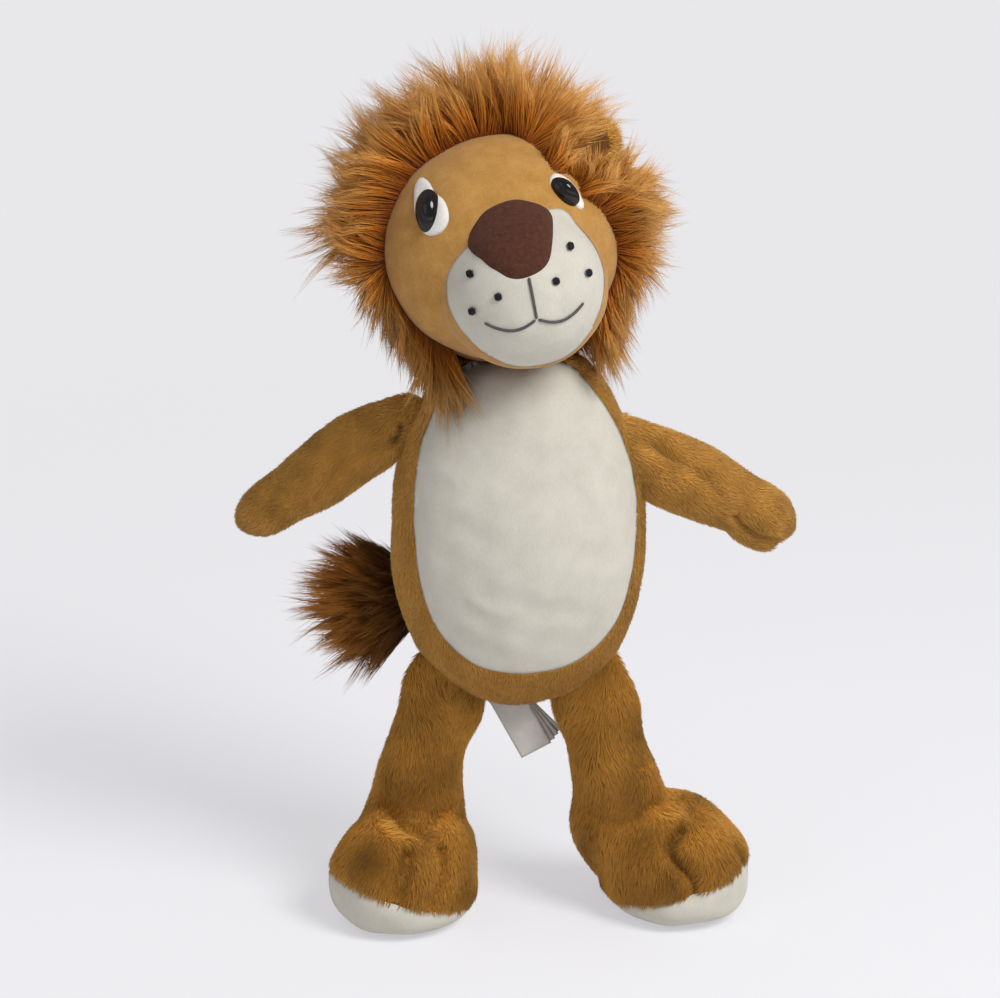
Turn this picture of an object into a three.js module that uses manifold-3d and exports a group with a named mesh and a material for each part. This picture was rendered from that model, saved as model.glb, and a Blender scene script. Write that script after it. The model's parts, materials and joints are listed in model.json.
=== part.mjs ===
// A plush lion that stands on its own soles: a stuffed torso with a pale belly, a head with
// a fur mane, two arms, two legs with big feet, and a tail with a fur tuft. The covers are
// sewn from pile cloth and filled with fibre stuffing. Millimetres, +Z up, the lion looks
// along -Y, and its own left is +X.

import * as THREE from 'three';
import { mergeVertices } from 'three/addons/utils/BufferGeometryUtils.js';
import Module from 'manifold-3d';

const wasm = await Module();
wasm.setup();

// Cloth, thread and clearances.
const cloth = 1.6; // pile cloth with its backing
const gap = 0.3; // between pieces that touch
const weld = 0.001; // corners closer than this are one corner
const sole_cut = 0.5; // how deep the soles are cut flat
const thread = 1.1; // embroidery thread, laid double

// Torso.
const hip_height = 84; // from the floor to the bottom of the torso
const torso_height = 140;
const torso_width = 97.5;
const torso_depth = 69;
const belly_width = 85;
const belly_height = 124;
const belly_bottom = 20; // above the bottom of the torso
const belly_shift = 3; // the belly panel sits a little towards the lion's left

// Neck.
const neck_ball = 13; // radius of the wad of stuffing in the neck
const neck_rise = 1; // from the top of the torso down to the bottom of the head

// Head, measured from its own centre, which lies above and before the neck.
const head_width = 90;
const head_depth = 82;
const head_height = 86;
const head_forward = 14;
const head_turn = 7; // degrees, towards the lion's left
const head_lean = 10; // degrees, towards the lion's right
const head_lift = 12; // degrees, chin up
const hairline = 3; // how far before the centre of the head the mane starts
const muzzle_width = 62;
const muzzle_depth = 60;
const muzzle_height = 60;
const muzzle_forward = 26; // from the centre of the head to the centre of the muzzle
const muzzle_drop = 15;
const muzzle_shift = 4; // from the middle of the face to the lion's left
const panel_width = 59; // the pale panel on the muzzle
const panel_height = 56;
const panel_drop = 16;

// Nose, mouth and whisker dots.
const nose_width = 33;
const nose_height = 27;
const nose_lift = 4; // above the centre of the head
const nose_shift = 2.5; // from the middle of the face to the lion's left
const nose_roll = 10; // degrees, its left corner up
const nose_pad = 2.6;
const lip_length = 15; // the upright stitch under the nose
const lip_drop = 9.8; // its upper end below the centre of the head
const smile_width = 36;
const smile_sag = 3;
const smile_rise = 2;
const dot_width = 3.2;
const dot_height = 1.2;
const dot_spread = 18.2;
const dot_drop = 3;

// Eyes.
const eye_spread = 25; // from the middle of the face
const eye_lift = 19;
const eye_width = 11;
const eye_height = 17;
const eye_dome = 5;
const eye_facing_share = 0.5; // how much of the skull's own slope the eye follows
const shank = 4; // diameter
const shank_length = 11;
const washer = 12;
const washer_thick = 1.5;
const white_width = 17;
const white_height = 27;
const white_thick = 0.8;

// Ears.
const ear_width = 23;
const ear_height = 27;
const ear_thick = 5;
const ear_angle = 39; // degrees above the sideways line
const ear_reach = 55; // from the centre of the head to the middle of the ear
const ear_dish_share = 0.62; // of the ear's width, height and thickness

// Mane.
const mane_width = 128;
const mane_height = 138;
const mane_depth = 98;
const mane_lift = 4;
const mane_back = 4;
const mane_locks = 15;
const lock_depth = 8;
const collar = 3; // from the middle of the neck up to the lower edge of the mane

// Arms.
const arm_length = 72;
const arm_width = 29;
const arm_depth = 27;
const arm_droop = 31; // degrees below the sideways line
const shoulder_height = 109; // above the bottom of the torso
const shoulder_inset = 4; // inwards from the widest part of the torso
const thumb_length = 24;
const thumb_width = 11;
const thumb_drop = 9;

// Legs and feet. Each foot has its own stance.
const leg_height = 110;
const leg_width = 36;
const leg_depth = 33;
const hip_spread = 29;
const hip_lift = 2; // the hip turns this far above the bottom of the torso
const leg_splay = 13; // how much further out the ankle is than the hip
const foot_width = 56;
const foot_length = 66;
const foot_up = 29; // from the widest level of the foot to its top
const foot_down = 18;
const toe_fall_share = 0.24; // how much lower the toes are than the instep
const toe_swell_share = 0.1; // how much wider the toes are than the heel
const toe_seam = 17; // height of the sole's seam at the toe
const heel_seam = 5;
const toe_groove = 3.2;
const groove_angle = 26; // degrees from the middle toe
const groove_spread = 8; // degrees
const groove_foot_share = 0.5; // how low on the foot a groove starts to show
const sole_power = 4; // how square the foot is below its widest level
const instep_power = 2.4; // and above it
const right_stance = { out: 43, forward: 10, splay: 28 };
const left_stance = { out: 60, forward: 2, splay: 38 };

// Tail and its tuft.
const tail_width = 9;
const tail_height = 26; // its root above the bottom of the torso
const tail_reach = 44;
const tail_rise = 4;
const tuft_length = 50;
const tuft_width = 50;
const tuft_locks = 9;
const tuft_lock_share = 0.14;
const tuft_taper_share = 0.25;
const tuft_hold_share = 0.14; // how far the tail reaches into its tuft

// Care label.
const leaf_width = 13;
const leaf_length = 30;
const leaf_back = 3; // behind the middle of the torso
const leaf_root = 6; // how far its sewn end reaches up into the seam
const leaf_thick = 0.4;
const leaf_pitch = 0.8;
const leaf_count = 4;
const leaf_turn = 25; // degrees
const leaf_shift_share = 0.125; // of its width, towards the lion's right
const leaf_fan = 4; // degrees from one leaf to the next

// How far each joint swings, in degrees, as turns about +Z or +X.
const neck_swing = { from: -40, to: 40 };
const nod_swing = { from: -18, to: 20 };
const right_arm_swing = { from: -30, to: 55 };
const left_arm_swing = { from: -55, to: 30 };
const leg_swing = { from: -80, to: 20 };
const tail_swing = { from: -100, to: 0 };
const swing_steps = 12;
const neck_steps = 4;

// Smoothness.
const round = { around: 20, along: 12 };
const plain = { around: 14, along: 9 };
const slim = { around: 14, along: 9 };
const thin = { around: 10, along: 7 };
const small = { around: 8, along: 6 };
const toed = { around: 28, along: 9 };
const lined = { around: 28, along: 6 };
const furry = { around: 60, along: 8 };
const tufted = { around: 36, along: 7 };
const cord = { around: 8, along: 10 };
const thread_sides = 4;

// Shapes of the stuffed forms. Each row is a share of the height, then of the half width
// and of the half depth. The first and last rows are the closed ends.
const torso_shares = [
  [0, 0, 0], [0.043, 0.43, 0.43], [0.1, 0.63, 0.62], [0.171, 0.82, 0.79], [0.3, 0.943, 0.93],
  [0.45, 1, 1], [0.6, 0.99, 0.985], [0.743, 0.91, 0.9], [0.871, 0.76, 0.78], [0.943, 0.6, 0.64],
  [0.979, 0.4, 0.44], [1, 0, 0],
];
const arm_shares = [
  [0, 0, 0], [0.05, 0.5, 0.52], [0.13, 0.78, 0.8], [0.26, 0.86, 0.88], [0.42, 0.93, 0.94],
  [0.6, 1, 0.94], [0.76, 1, 0.66], [0.9, 0.94, 0.34], [1.01, 0.7, 0.12], [1.08, 0, 0],
];
const leg_shares = [
  [0.06, 0, 0], [0.14, 0.7, 0.75], [0.3, 1, 1.06], [0.46, 0.97, 1], [0.6, 0.9, 0.92],
  [0.73, 0.97, 0.68], [0.85, 0.88, 0.42], [0.94, 0.6, 0.28], [1, 0, 0],
];
// How far out the middle of the leg is at each of those rows, as a share of the splay.
const leg_out_shares = [1, 1, 0.95, 0.75, 0.48, 0.1, 0, 0, 0];

// The belly panel, as shares of its half width and of its height, up one side.
const belly_shares = [
  [0.28, 0.012], [0.56, 0.055], [0.8, 0.14], [0.94, 0.27], [1, 0.44], [0.98, 0.6], [0.88, 0.78],
  [0.74, 0.93], [0.66, 1],
];
// The muzzle panel, as shares of its half width and half height, down one side.
const panel_shares = [
  [0.65, 0.93], [0.8, 0.7], [0.93, 0.46], [1, 0.1], [0.95, -0.18], [0.81, -0.5], [0.57, -0.79],
  [0.27, -0.97],
];
// The nose, as shares of its half width and half height, down one side.
const nose_shares = [
  [0.3, 0.96], [0.64, 0.74], [0.88, 0.48], [1, 0.2], [0.85, -0.14], [0.64, -0.5],
  [0.38, -0.8], [0.12, -0.98],
];
// The white of the eye, as shares of its half width and half height, round it.
const white_shares = [
  [0.02, 1], [0.42, 0.52], [0.74, 0.08], [0.96, -0.46], [0.62, -0.86], [0.02, -0.98],
  [-0.6, -0.76], [-0.72, -0.2], [-0.5, 0.34], [-0.3, 0.8],
];
// Where the three whisker dots of a side lie, as shares of the first one's place.
const dot_places = [
  { out_share: 1, drop_share: 1 }, { out_share: 0.61, drop_share: 4.3 },
  { out_share: 1.18, drop_share: 4.9 },
];

// The stitches of the mouth, as shares of the lip's length and of half the smile's width.
const lip_shares = [0, 0.5, 1];
const smile_shares = [0.06, 0.28, 0.52, 0.76, 1];
// The toe stitch climbs from low on the toe to the instep, in shares of a right angle.
const stitch_shares = [0.05, 0.2, 0.35, 0.5, 0.62];
// The stuffing opening in the back is closed between these shares of the torso's height.
const closing_shares = [0.36, 0.44, 0.52, 0.6];

const colours = {
  body: 0xb07a34, face: 0xc59048, belly: 0xd9d5c8, leg: 0x9a6724, sole: 0xcfc8ba, fur: 0xa05f28,
  tuft: 0x7a431a, felt: 0x4e2a1e, stitch: 0x4a4648, black: 0x0c0a0a, white: 0xe8e6e0,
  nylon: 0xd0d0ca, fibre: 0xf2f0ea, satin: 0xf0efec, inner: 0x6f431c,
};

const rough = { cloth: 0.95, dot: 0.7, thread: 0.6, nylon: 0.5, satin: 0.5, button: 0.08 };

const sides = [['right', -1], ['left', 1]];
const up_axis = new THREE.Vector3(0, 0, 1);
const side_axis = new THREE.Vector3(1, 0, 0);
const radians = THREE.MathUtils.degToRad;

// A closed mesh as a solid that can be cut and joined, and back again.
function solidOf(geometry) {
  const bare = geometry.clone();
  bare.deleteAttribute('normal');
  bare.deleteAttribute('uv');
  const welded = mergeVertices(bare, weld);
  return new wasm.Manifold(new wasm.Mesh({
    numProp: 3,
    vertProperties: new Float32Array(welded.attributes.position.array),
    triVerts: new Uint32Array(welded.index.array),
  }));
}

function geometryOf(solid) {
  const mesh = solid.getMesh();
  const geometry = new THREE.BufferGeometry();
  geometry.setAttribute('position', new THREE.BufferAttribute(mesh.vertProperties, 3));
  geometry.setIndex(new THREE.BufferAttribute(mesh.triVerts, 1));
  geometry.computeVertexNormals();
  return geometry;
}

function addPiece(parent, name, solid, color, roughness = rough.cloth) {
  const finish = new THREE.MeshStandardMaterial({ color, roughness });
  const mesh = new THREE.Mesh(geometryOf(solid), finish);
  mesh.name = name;
  parent.add(mesh);
  return mesh;
}

// The same solid, moved from one group's frame into another's.
function carried(geometry, from, to) {
  from.updateWorldMatrix(true, false);
  to.updateWorldMatrix(true, false);
  return geometry.clone().applyMatrix4(from.matrixWorld)
    .applyMatrix4(to.matrixWorld.clone().invert());
}

// Moves each corner of a geometry to where the rule puts it.
function shaped(geometry, rule) {
  const places = geometry.attributes.position;
  const corner = new THREE.Vector3();
  for (let i = 0; i < places.count; i += 1) {
    corner.fromBufferAttribute(places, i);
    rule(corner);
    places.setXYZ(i, corner.x, corner.y, corner.z);
  }
  return geometry;
}

// A ball with its poles on the Z axis.
function ball(mesh) {
  return new THREE.SphereGeometry(1, mesh.around, mesh.along).rotateX(Math.PI / 2);
}

// An egg: a ball scaled to its three full sizes, each grown by the same amount all round.
function egg(width, depth, height, grow, mesh) {
  return ball(mesh).scale(width / 2 + grow, depth / 2 + grow, height / 2 + grow);
}

// A stuffed form round an upright spine. Its stations hold a place and a half width and
// half depth; the squares of the halves are smoothed, so that both ends close round.
function stuffedForm(stations, grow, mesh) {
  const last = stations.length - 1;
  const rise = Math.sign(stations[last].place.z - stations[0].place.z);
  const places = stations.map((station, i) => {
    const end = (i === last ? 1 : 0) - (i === 0 ? 1 : 0);
    return station.place.clone().add(new THREE.Vector3(0, 0, end * rise * grow));
  });
  const squares = stations.map((station, i) => {
    const open = i > 0 && i < last;
    const across = open ? Math.max(station.across + grow, gap) : 0;
    const deep = open ? Math.max(station.deep + grow, gap) : 0;
    return new THREE.Vector3(across ** 2, deep ** 2, 0);
  });
  const spine = new THREE.CatmullRomCurve3(places);
  const halves = new THREE.CatmullRomCurve3(squares);
  return shaped(ball(mesh), (corner) => {
    const share = THREE.MathUtils.clamp((1 + rise * corner.z) / 2, 0, 1);
    const middle = spine.getPoint(share);
    const half = halves.getPoint(share);
    const flat = Math.hypot(corner.x, corner.y);
    const across = flat > weld ? corner.x / flat : 0;
    const deep = flat > weld ? corner.y / flat : 0;
    corner.set(
      middle.x + across * Math.sqrt(Math.max(half.x, 0)),
      middle.y + deep * Math.sqrt(Math.max(half.y, 0)),
      middle.z,
    );
  });
}

// A flat outline in the XZ plane, mirrored about the Z axis, as a prism along Y.
function frontPrism(width, height, shares, from, to) {
  const side = shares.map(([out, up]) => new THREE.Vector2(out * width, up * height));
  const other = side.map((point) => new THREE.Vector2(-point.x, point.y)).reverse();
  const outline = new THREE.SplineCurve([...side, ...other, side[0]]);
  return upright(new THREE.Shape(outline.getPoints(2 * (side.length + other.length))), from, to);
}

function upright(shape, from, to) {
  return new THREE.ExtrudeGeometry(shape, { depth: to - from, bevelEnabled: false })
    .rotateX(Math.PI / 2).translate(0, to, 0);
}

// A tube of the given width along a curve.
function tube(curve, width, mesh) {
  const section = new THREE.Shape();
  section.absarc(0, 0, width / 2, 0, 2 * Math.PI);
  const settings = { steps: mesh.along, curveSegments: mesh.around / 2, bevelEnabled: false };
  return new THREE.ExtrudeGeometry(section, { ...settings, extrudePath: curve });
}

// A thread laid through the given points.
function sewn(points) {
  const mesh = { around: thread_sides, along: 2 * points.length };
  return solidOf(tube(new THREE.CatmullRomCurve3(points), thread, mesh));
}

// A level slab as wide as the whole part.
function slab(bottom, top) {
  const reach = torso_height + leg_height;
  return new THREE.BoxGeometry(2 * reach, 2 * reach, top - bottom)
    .translate(0, 0, (bottom + top) / 2);
}

const lion = new THREE.Group();

// Torso. Its frame stands at the bottom of the torso.
const torso = new THREE.Group();
torso.position.z = hip_height;
lion.add(torso);

const torso_stations = torso_shares.map(([up, across, deep]) => ({
  place: new THREE.Vector3(0, 0, up * torso_height),
  across: across * torso_width / 2,
  deep: deep * torso_depth / 2,
}));

const torso_form = stuffedForm(torso_stations, 0, round);
const torso_clear = stuffedForm(torso_stations, gap, round);

function bellyPrism(grow) {
  return frontPrism(belly_width / 2 + grow, belly_height, belly_shares, -torso_depth, 0)
    .translate(belly_shift, 0, belly_bottom);
}

function neckBall(grow, mesh) {
  return egg(2 * neck_ball, 2 * neck_ball, 2 * neck_ball, grow, mesh);
}

// How a limb sees the torso turn, step by step, while the limb itself swings about an axis
// through a point of the torso's frame.
function swungTurns(pivot, axis, swing, steps) {
  const to = new THREE.Matrix4().makeTranslation(pivot);
  const from = to.clone().invert();
  return Array.from({ length: steps + 1 }, (_, i) => {
    const angle = -radians(THREE.MathUtils.lerp(swing.from, swing.to, i / steps));
    const turn = new THREE.Matrix4().makeRotationAxis(axis, angle);
    return to.clone().multiply(turn).multiply(from);
  });
}

// The room that the torso fills as a limb sees it through all its turns.
function sweptTorso(limb, turns) {
  let room = solidOf(carried(torso_clear, torso, limb));
  for (const turn of turns) {
    const turned = torso_clear.clone().applyMatrix4(turn);
    room = room.add(solidOf(carried(turned, torso, limb)));
  }
  return room;
}

// The same room as the head sees it, which turns on the neck and nods.
function shoulderRoom() {
  const middle = new THREE.Vector3(0, 0, torso_height);
  const turns = swungTurns(middle, up_axis, neck_swing, neck_steps);
  const nods = swungTurns(middle, side_axis, nod_swing, neck_steps);
  const both = nods.flatMap((nod) => turns.map((turn) => nod.clone().multiply(turn)));
  return sweptTorso(face, both);
}

function makeTorso() {
  const lining = solidOf(stuffedForm(torso_stations, -cloth, plain));
  const neck_room = solidOf(neckBall(2 * gap, round).translate(0, 0, torso_height));
  const shell = solidOf(torso_form).subtract(lining).subtract(neck_room);
  const panel = solidOf(bellyPrism(0));
  addPiece(torso, 'torso_cover', shell.subtract(panel), colours.body);
  addPiece(torso, 'belly_panel', shell.intersect(solidOf(bellyPrism(-gap))), colours.belly);
  const stuffing = solidOf(stuffedForm(torso_stations, -cloth - gap, plain));
  addPiece(torso, 'torso_stuffing', stuffing.subtract(neck_room), colours.fibre);
  const back = new THREE.CatmullRomCurve3(torso_stations.map(
    (station) => new THREE.Vector3(0, station.deep, station.place.z),
  ));
  const laid = closing_shares.map((share) => back.getPoint(share)
    .add(new THREE.Vector3(0, gap + thread / 2, 0)));
  const closing = sewn(laid);
  addPiece(torso, 'closing_stitch', closing, colours.body, rough.thread);
}

// Neck: a round wad of stuffing that the torso and the head both close round.
const neck = new THREE.Group();
neck.position.z = torso_height;
torso.add(neck);

function makeNeck() {
  addPiece(neck, 'neck_stuffing', solidOf(neckBall(0, plain)), colours.fibre);
}

// Head. Its frame turns about the middle of the neck; the face's frame is its centre.
const head = new THREE.Group();
head.rotation.set(-radians(head_lift), -radians(head_lean), radians(head_turn), 'ZYX');
neck.add(head);

const face = new THREE.Group();
face.position.set(0, -head_forward, head_height / 2 - neck_rise);
head.add(face);

function headForm(grow, mesh) {
  const skull = solidOf(egg(head_width, head_depth, head_height, grow, mesh));
  const muzzle = egg(muzzle_width, muzzle_depth, muzzle_height, grow, mesh)
    .translate(muzzle_shift, -muzzle_forward, -muzzle_drop);
  return skull.add(solidOf(muzzle));
}

// How far before the centre of the face the muzzle's surface is.
function muzzleAt(x, z) {
  const across = 2 * (x - muzzle_shift) / muzzle_width;
  const up = 2 * (z + muzzle_drop) / muzzle_height;
  return -muzzle_forward - muzzle_depth / 2 * Math.sqrt(Math.max(1 - across ** 2 - up ** 2, 0));
}

function skullAt(x, z) {
  const across = 2 * x / head_width;
  const up = 2 * z / head_height;
  return -head_depth / 2 * Math.sqrt(Math.max(1 - across ** 2 - up ** 2, 0));
}

// The way out of the skull at x, z; a share of 1 is square to it, and 0 is straight ahead.
function outOfSkull(x, z, share) {
  const half = new THREE.Vector3(head_width / 2, head_depth / 2, head_height / 2);
  const out = new THREE.Vector3(share * x, skullAt(x, z), share * z);
  return out.divide(half).divide(half).normalize();
}

// Turns a piece that was made facing -Y so that it faces the given way from a place.
function facing(geometry, place, out) {
  const front = new THREE.Vector3(0, -1, 0);
  return geometry.applyQuaternion(new THREE.Quaternion().setFromUnitVectors(front, out))
    .translate(place.x, place.y, place.z);
}

function panelPrism(grow) {
  const half = panel_width / 2 + grow;
  return frontPrism(half, panel_height / 2 + grow, panel_shares, -head_depth, -muzzle_forward)
    .translate(muzzle_shift, 0, -panel_drop);
}

function nosePrism() {
  return frontPrism(nose_width / 2, nose_height / 2, nose_shares, -head_depth, -muzzle_forward)
    .rotateY(-radians(nose_roll)).translate(nose_shift, 0, nose_lift);
}

// A rod along Y, from its front face backwards.
function rod(width, length, sides) {
  return new THREE.CylinderGeometry(width / 2, width / 2, length, sides)
    .translate(0, length / 2, 0);
}

function whiteGeometry(side) {
  const points = white_shares.map(([out, up]) => new THREE.Vector2(
    side * out * white_width / 2,
    up * white_height / 2,
  ));
  const outline = new THREE.SplineCurve([...points, points[0]]);
  const shape = new THREE.Shape(outline.getPoints(2 * points.length));
  return upright(shape, -head_depth, -hairline - gap);
}

// Each eye is a domed button whose shank passes through the cover into a washer.
function makeEyes(rooms) {
  const skin = solidOf(egg(head_width, head_depth, head_height, gap, round));
  const white_front = solidOf(egg(head_width, head_depth, head_height, gap + white_thick, round));
  const seat = solidOf(egg(head_width, head_depth, head_height, 2 * gap + white_thick, round));
  const muzzle = solidOf(egg(muzzle_width, muzzle_depth, muzzle_height, gap, round)
    .translate(muzzle_shift, -muzzle_forward, -muzzle_drop));
  for (const [name, side] of sides) {
    const x = side * eye_spread;
    const place = new THREE.Vector3(x, skullAt(x, eye_lift), eye_lift);
    const out = outOfSkull(x, eye_lift, eye_facing_share);
    const set = (geometry) => solidOf(facing(geometry, place, out));
    const washer_back = shank_length - washer_thick;
    const rod_length = eye_dome / 2 + shank_length;
    const stem = (grow) => set(rod(shank + 2 * grow, rod_length + grow, thin.around)
      .translate(0, -eye_dome / 2, 0));
    const ring = (grow) => set(rod(washer + 2 * grow, washer_thick + 2 * grow, slim.around)
      .translate(0, washer_back - washer_thick - grow, 0));
    const dome = set(egg(eye_width, 2 * eye_dome, eye_height, 0, slim)).subtract(seat);
    addPiece(face, `${name}_eye`, dome.subtract(muzzle).add(stem(0)), colours.black, rough.button);
    addPiece(face, `${name}_eye_washer`, ring(0).subtract(stem(gap)), colours.nylon, rough.nylon);
    rooms.push(stem(gap), ring(gap));
    const outline = solidOf(whiteGeometry(side).translate(x, 0, eye_lift));
    const white = white_front.subtract(skin).intersect(outline);
    addPiece(face, `${name}_eye_white`, white.subtract(stem(gap)).subtract(muzzle), colours.white);
  }
}

function makeFace() {
  const rooms = [];
  makeEyes(rooms);
  const lining = headForm(-cloth, plain);
  const neck_room = solidOf(neckBall(2 * gap, round)
    .translate(0, head_forward, -face.position.z));
  const shoulders = shoulderRoom();
  let shell = headForm(0, round).subtract(lining).subtract(neck_room).subtract(shoulders);
  for (const room of rooms) {
    shell = shell.subtract(room);
  }
  const reach = 2 * (head_width + mane_width);
  const before = (y) => solidOf(new THREE.BoxGeometry(reach, reach, reach)
    .translate(0, y - reach / 2, 0));
  const front = shell.intersect(before(-hairline - gap));
  addPiece(face, 'face_cover', front.subtract(solidOf(panelPrism(0))), colours.face);
  const panel = shell.intersect(solidOf(panelPrism(-gap)));
  addPiece(face, 'muzzle_panel', panel, colours.belly);
  let stuffing = headForm(-cloth - gap, plain).subtract(neck_room);
  for (const room of rooms) {
    stuffing = stuffing.subtract(room);
  }
  addPiece(face, 'head_stuffing', stuffing, colours.fibre);
  makeMane(lining, before(-hairline), neck_room, shoulders);
}

// A fur form swells out into pointed locks round the axis that it is combed from.
function lockSwell(angle, locks) {
  return 1 - Math.abs(Math.sin(angle * locks / 2));
}

function makeMane(lining, face_room, neck_room, shoulders) {
  const lock_share = 2 * lock_depth / mane_width;
  const form = shaped(ball(furry).rotateX(Math.PI / 2), (corner) => {
    const flat = Math.hypot(corner.x, corner.z);
    const swell = lockSwell(Math.atan2(corner.x, corner.z), mane_locks);
    const stretch = 1 + lock_share * swell * flat;
    corner.set(corner.x * stretch, corner.y, corner.z * stretch);
  }).scale(mane_width / 2, mane_depth / 2, mane_height / 2).translate(0, mane_back, mane_lift);
  const below = solidOf(slab(-mane_height, collar).translate(0, 0, -face.position.z));
  const fur = solidOf(form).subtract(below).subtract(lining).subtract(face_room);
  addPiece(face, 'mane', fur.subtract(neck_room).subtract(shoulders), colours.fur);
}

function makeNose() {
  const pad = headForm(gap + nose_pad, round).intersect(solidOf(nosePrism()));
  addPiece(face, 'nose', pad.subtract(headForm(gap, round)), colours.felt);
}

// A stitch that lies on the muzzle along the given points.
function stitchOn(name, points) {
  const lift = gap + thread / 2;
  const laid = points.map(([x, z]) => new THREE.Vector3(x, muzzleAt(x, z) - lift, z));
  addPiece(face, name, sewn(laid), colours.stitch, rough.thread);
}

function makeMouth() {
  const corner = -lip_drop - lip_length;
  stitchOn('lip_stitch', lip_shares.map((share) => [
    muzzle_shift,
    -lip_drop - share * lip_length,
  ]));
  for (const [name, side] of sides) {
    const points = smile_shares.map((share) => {
      const sag = smile_sag * Math.sin(Math.PI * share) - smile_rise * share ** 2;
      return [muzzle_shift + side * share * smile_width / 2, corner - sag];
    });
    stitchOn(`${name}_smile_stitch`, points);
  }
}

function makeDots() {
  const skin = headForm(gap, round);
  for (const [name, side] of sides) {
    dot_places.forEach(({ out_share, drop_share }, i) => {
      const x = muzzle_shift + side * out_share * dot_spread;
      const z = -drop_share * dot_drop;
      const dot = egg(dot_width, 2 * (dot_height + gap), dot_width, 0, small);
      const place = new THREE.Vector3(x, muzzleAt(x, z), z);
      const size = new THREE.Vector3(muzzle_width, muzzle_depth, muzzle_height);
      const middle = new THREE.Vector3(muzzle_shift, -muzzle_forward, -muzzle_drop);
      const out = place.clone().sub(middle).divide(size).divide(size).normalize();
      const solid = solidOf(facing(dot, place, out)).subtract(skin);
      addPiece(face, `${name}_whisker_dot_${i + 1}`, solid, colours.black, rough.dot);
    });
  }
}

// An ear is a round flap with a dished front; a darker lining fills the dish.
function makeEars() {
  const middle = -hairline - 2 * gap - ear_thick / 2;
  const dish = (side, grow) => egg(
    ear_height * ear_dish_share,
    ear_thick * ear_dish_share,
    ear_width * ear_dish_share,
    grow,
    small,
  ).translate(side * ear_reach, middle - ear_thick / 2, 0);
  for (const [name, side] of sides) {
    const ear = new THREE.Group();
    ear.rotation.y = -side * radians(ear_angle);
    face.add(ear);
    const skin = solidOf(carried(geometryOf(headForm(gap, round)), face, ear));
    const flap = solidOf(egg(ear_height, ear_thick, ear_width, 0, slim)
      .translate(side * ear_reach, middle, 0)).subtract(skin);
    const lining = solidOf(dish(side, -gap)).intersect(flap);
    addPiece(ear, `${name}_ear`, flap.subtract(solidOf(dish(side, 0))), colours.face);
    addPiece(ear, `${name}_ear_lining`, lining, colours.inner);
  }
}

// Arms. Each hangs in its own frame from the shoulder seam and is raised from there.
function armStations() {
  return arm_shares.map(([up, across, deep]) => ({
    place: new THREE.Vector3(0, 0, (up - 1) * arm_length),
    across: across * arm_width / 2,
    deep: deep * arm_depth / 2,
  }));
}

function makeArm(name, side) {
  const shoulder = new THREE.Group();
  shoulder.position.set(side * (torso_width / 2 - shoulder_inset), 0, shoulder_height);
  shoulder.rotation.y = -side * radians(90 - arm_droop);
  torso.add(shoulder);
  const stations = armStations();
  const swing = side < 0 ? right_arm_swing : left_arm_swing;
  const turns = swungTurns(shoulder.position, up_axis, swing, swing_steps);
  const clear = sweptTorso(shoulder, turns);
  const limb = (grow, mesh) => {
    const form = solidOf(stuffedForm(stations, grow, mesh));
    if (side < 0) {
      return form;
    }
    const thumb = egg(thumb_width, thumb_width, thumb_length, grow, thin)
      .translate(-side * thumb_drop, 0, thumb_length / 2 - arm_length);
    return form.add(solidOf(thumb));
  };
  const lining = limb(-cloth, thin);
  const cover = limb(0, slim).subtract(lining).subtract(clear);
  addPiece(shoulder, `${name}_arm_cover`, cover, colours.body);
  const stuffing = limb(-cloth - gap, thin).subtract(clear);
  addPiece(shoulder, `${name}_arm_stuffing`, stuffing, colours.fibre);
}

// Legs. Each stands in its own frame on the floor under its hip.

// Takes a corner of the unit ball to the foot's surface: flat below, puffed above, and
// drawn in along the two grooves between the toes.
function ontoFoot(corner, grow) {
  const angle = Math.atan2(corner.x, -corner.y);
  const depth = [-1, 1].map((toe) => {
    const away = (angle - toe * radians(groove_angle)) / radians(groove_spread);
    return Math.exp(-(away ** 2));
  });
  const front = Math.max(-corner.y, 0) * THREE.MathUtils.clamp(corner.z + groove_foot_share, 0, 1);
  const drawn = 2 * toe_groove / foot_width * Math.max(...depth) * Math.min(2 * front, 1);
  const flat = Math.hypot(corner.x, corner.y);
  const power = corner.z < 0 ? sole_power : instep_power;
  const reach = (flat ** power + Math.abs(corner.z) ** power) ** (-1 / power);
  const pinch = reach * (1 - drawn);
  const swell = 1 - toe_swell_share * corner.y;
  const fall = corner.z < 0 ? 1 : 1 + toe_fall_share * corner.y;
  return corner.set(
    corner.x * pinch * swell * (foot_width / 2 + grow),
    corner.y * pinch * (foot_length / 2 + grow),
    corner.z * pinch * fall * ((corner.z < 0 ? foot_down : foot_up) + grow),
  );
}

// From the foot's own frame to the leg's.
function footPlace(stance, side) {
  return new THREE.Matrix4()
    .makeTranslation(side * (stance.out - hip_spread), -stance.forward, foot_down - sole_cut)
    .multiply(new THREE.Matrix4().makeRotationZ(side * radians(stance.splay)));
}

function footForm(grow, stance, side, mesh) {
  return shaped(ball(mesh), (corner) => ontoFoot(corner, grow))
    .applyMatrix4(footPlace(stance, side));
}

function legForm(grow, stance, side, mesh, foot_mesh) {
  const stations = leg_shares.map(([up, across, deep], i) => ({
    place: new THREE.Vector3(side * leg_out_shares[i] * leg_splay, 0, up * leg_height),
    across: across * leg_width / 2,
    deep: deep * leg_depth / 2,
  }));
  return solidOf(stuffedForm(stations, grow, mesh))
    .add(solidOf(footForm(grow, stance, side, foot_mesh)));
}

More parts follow.
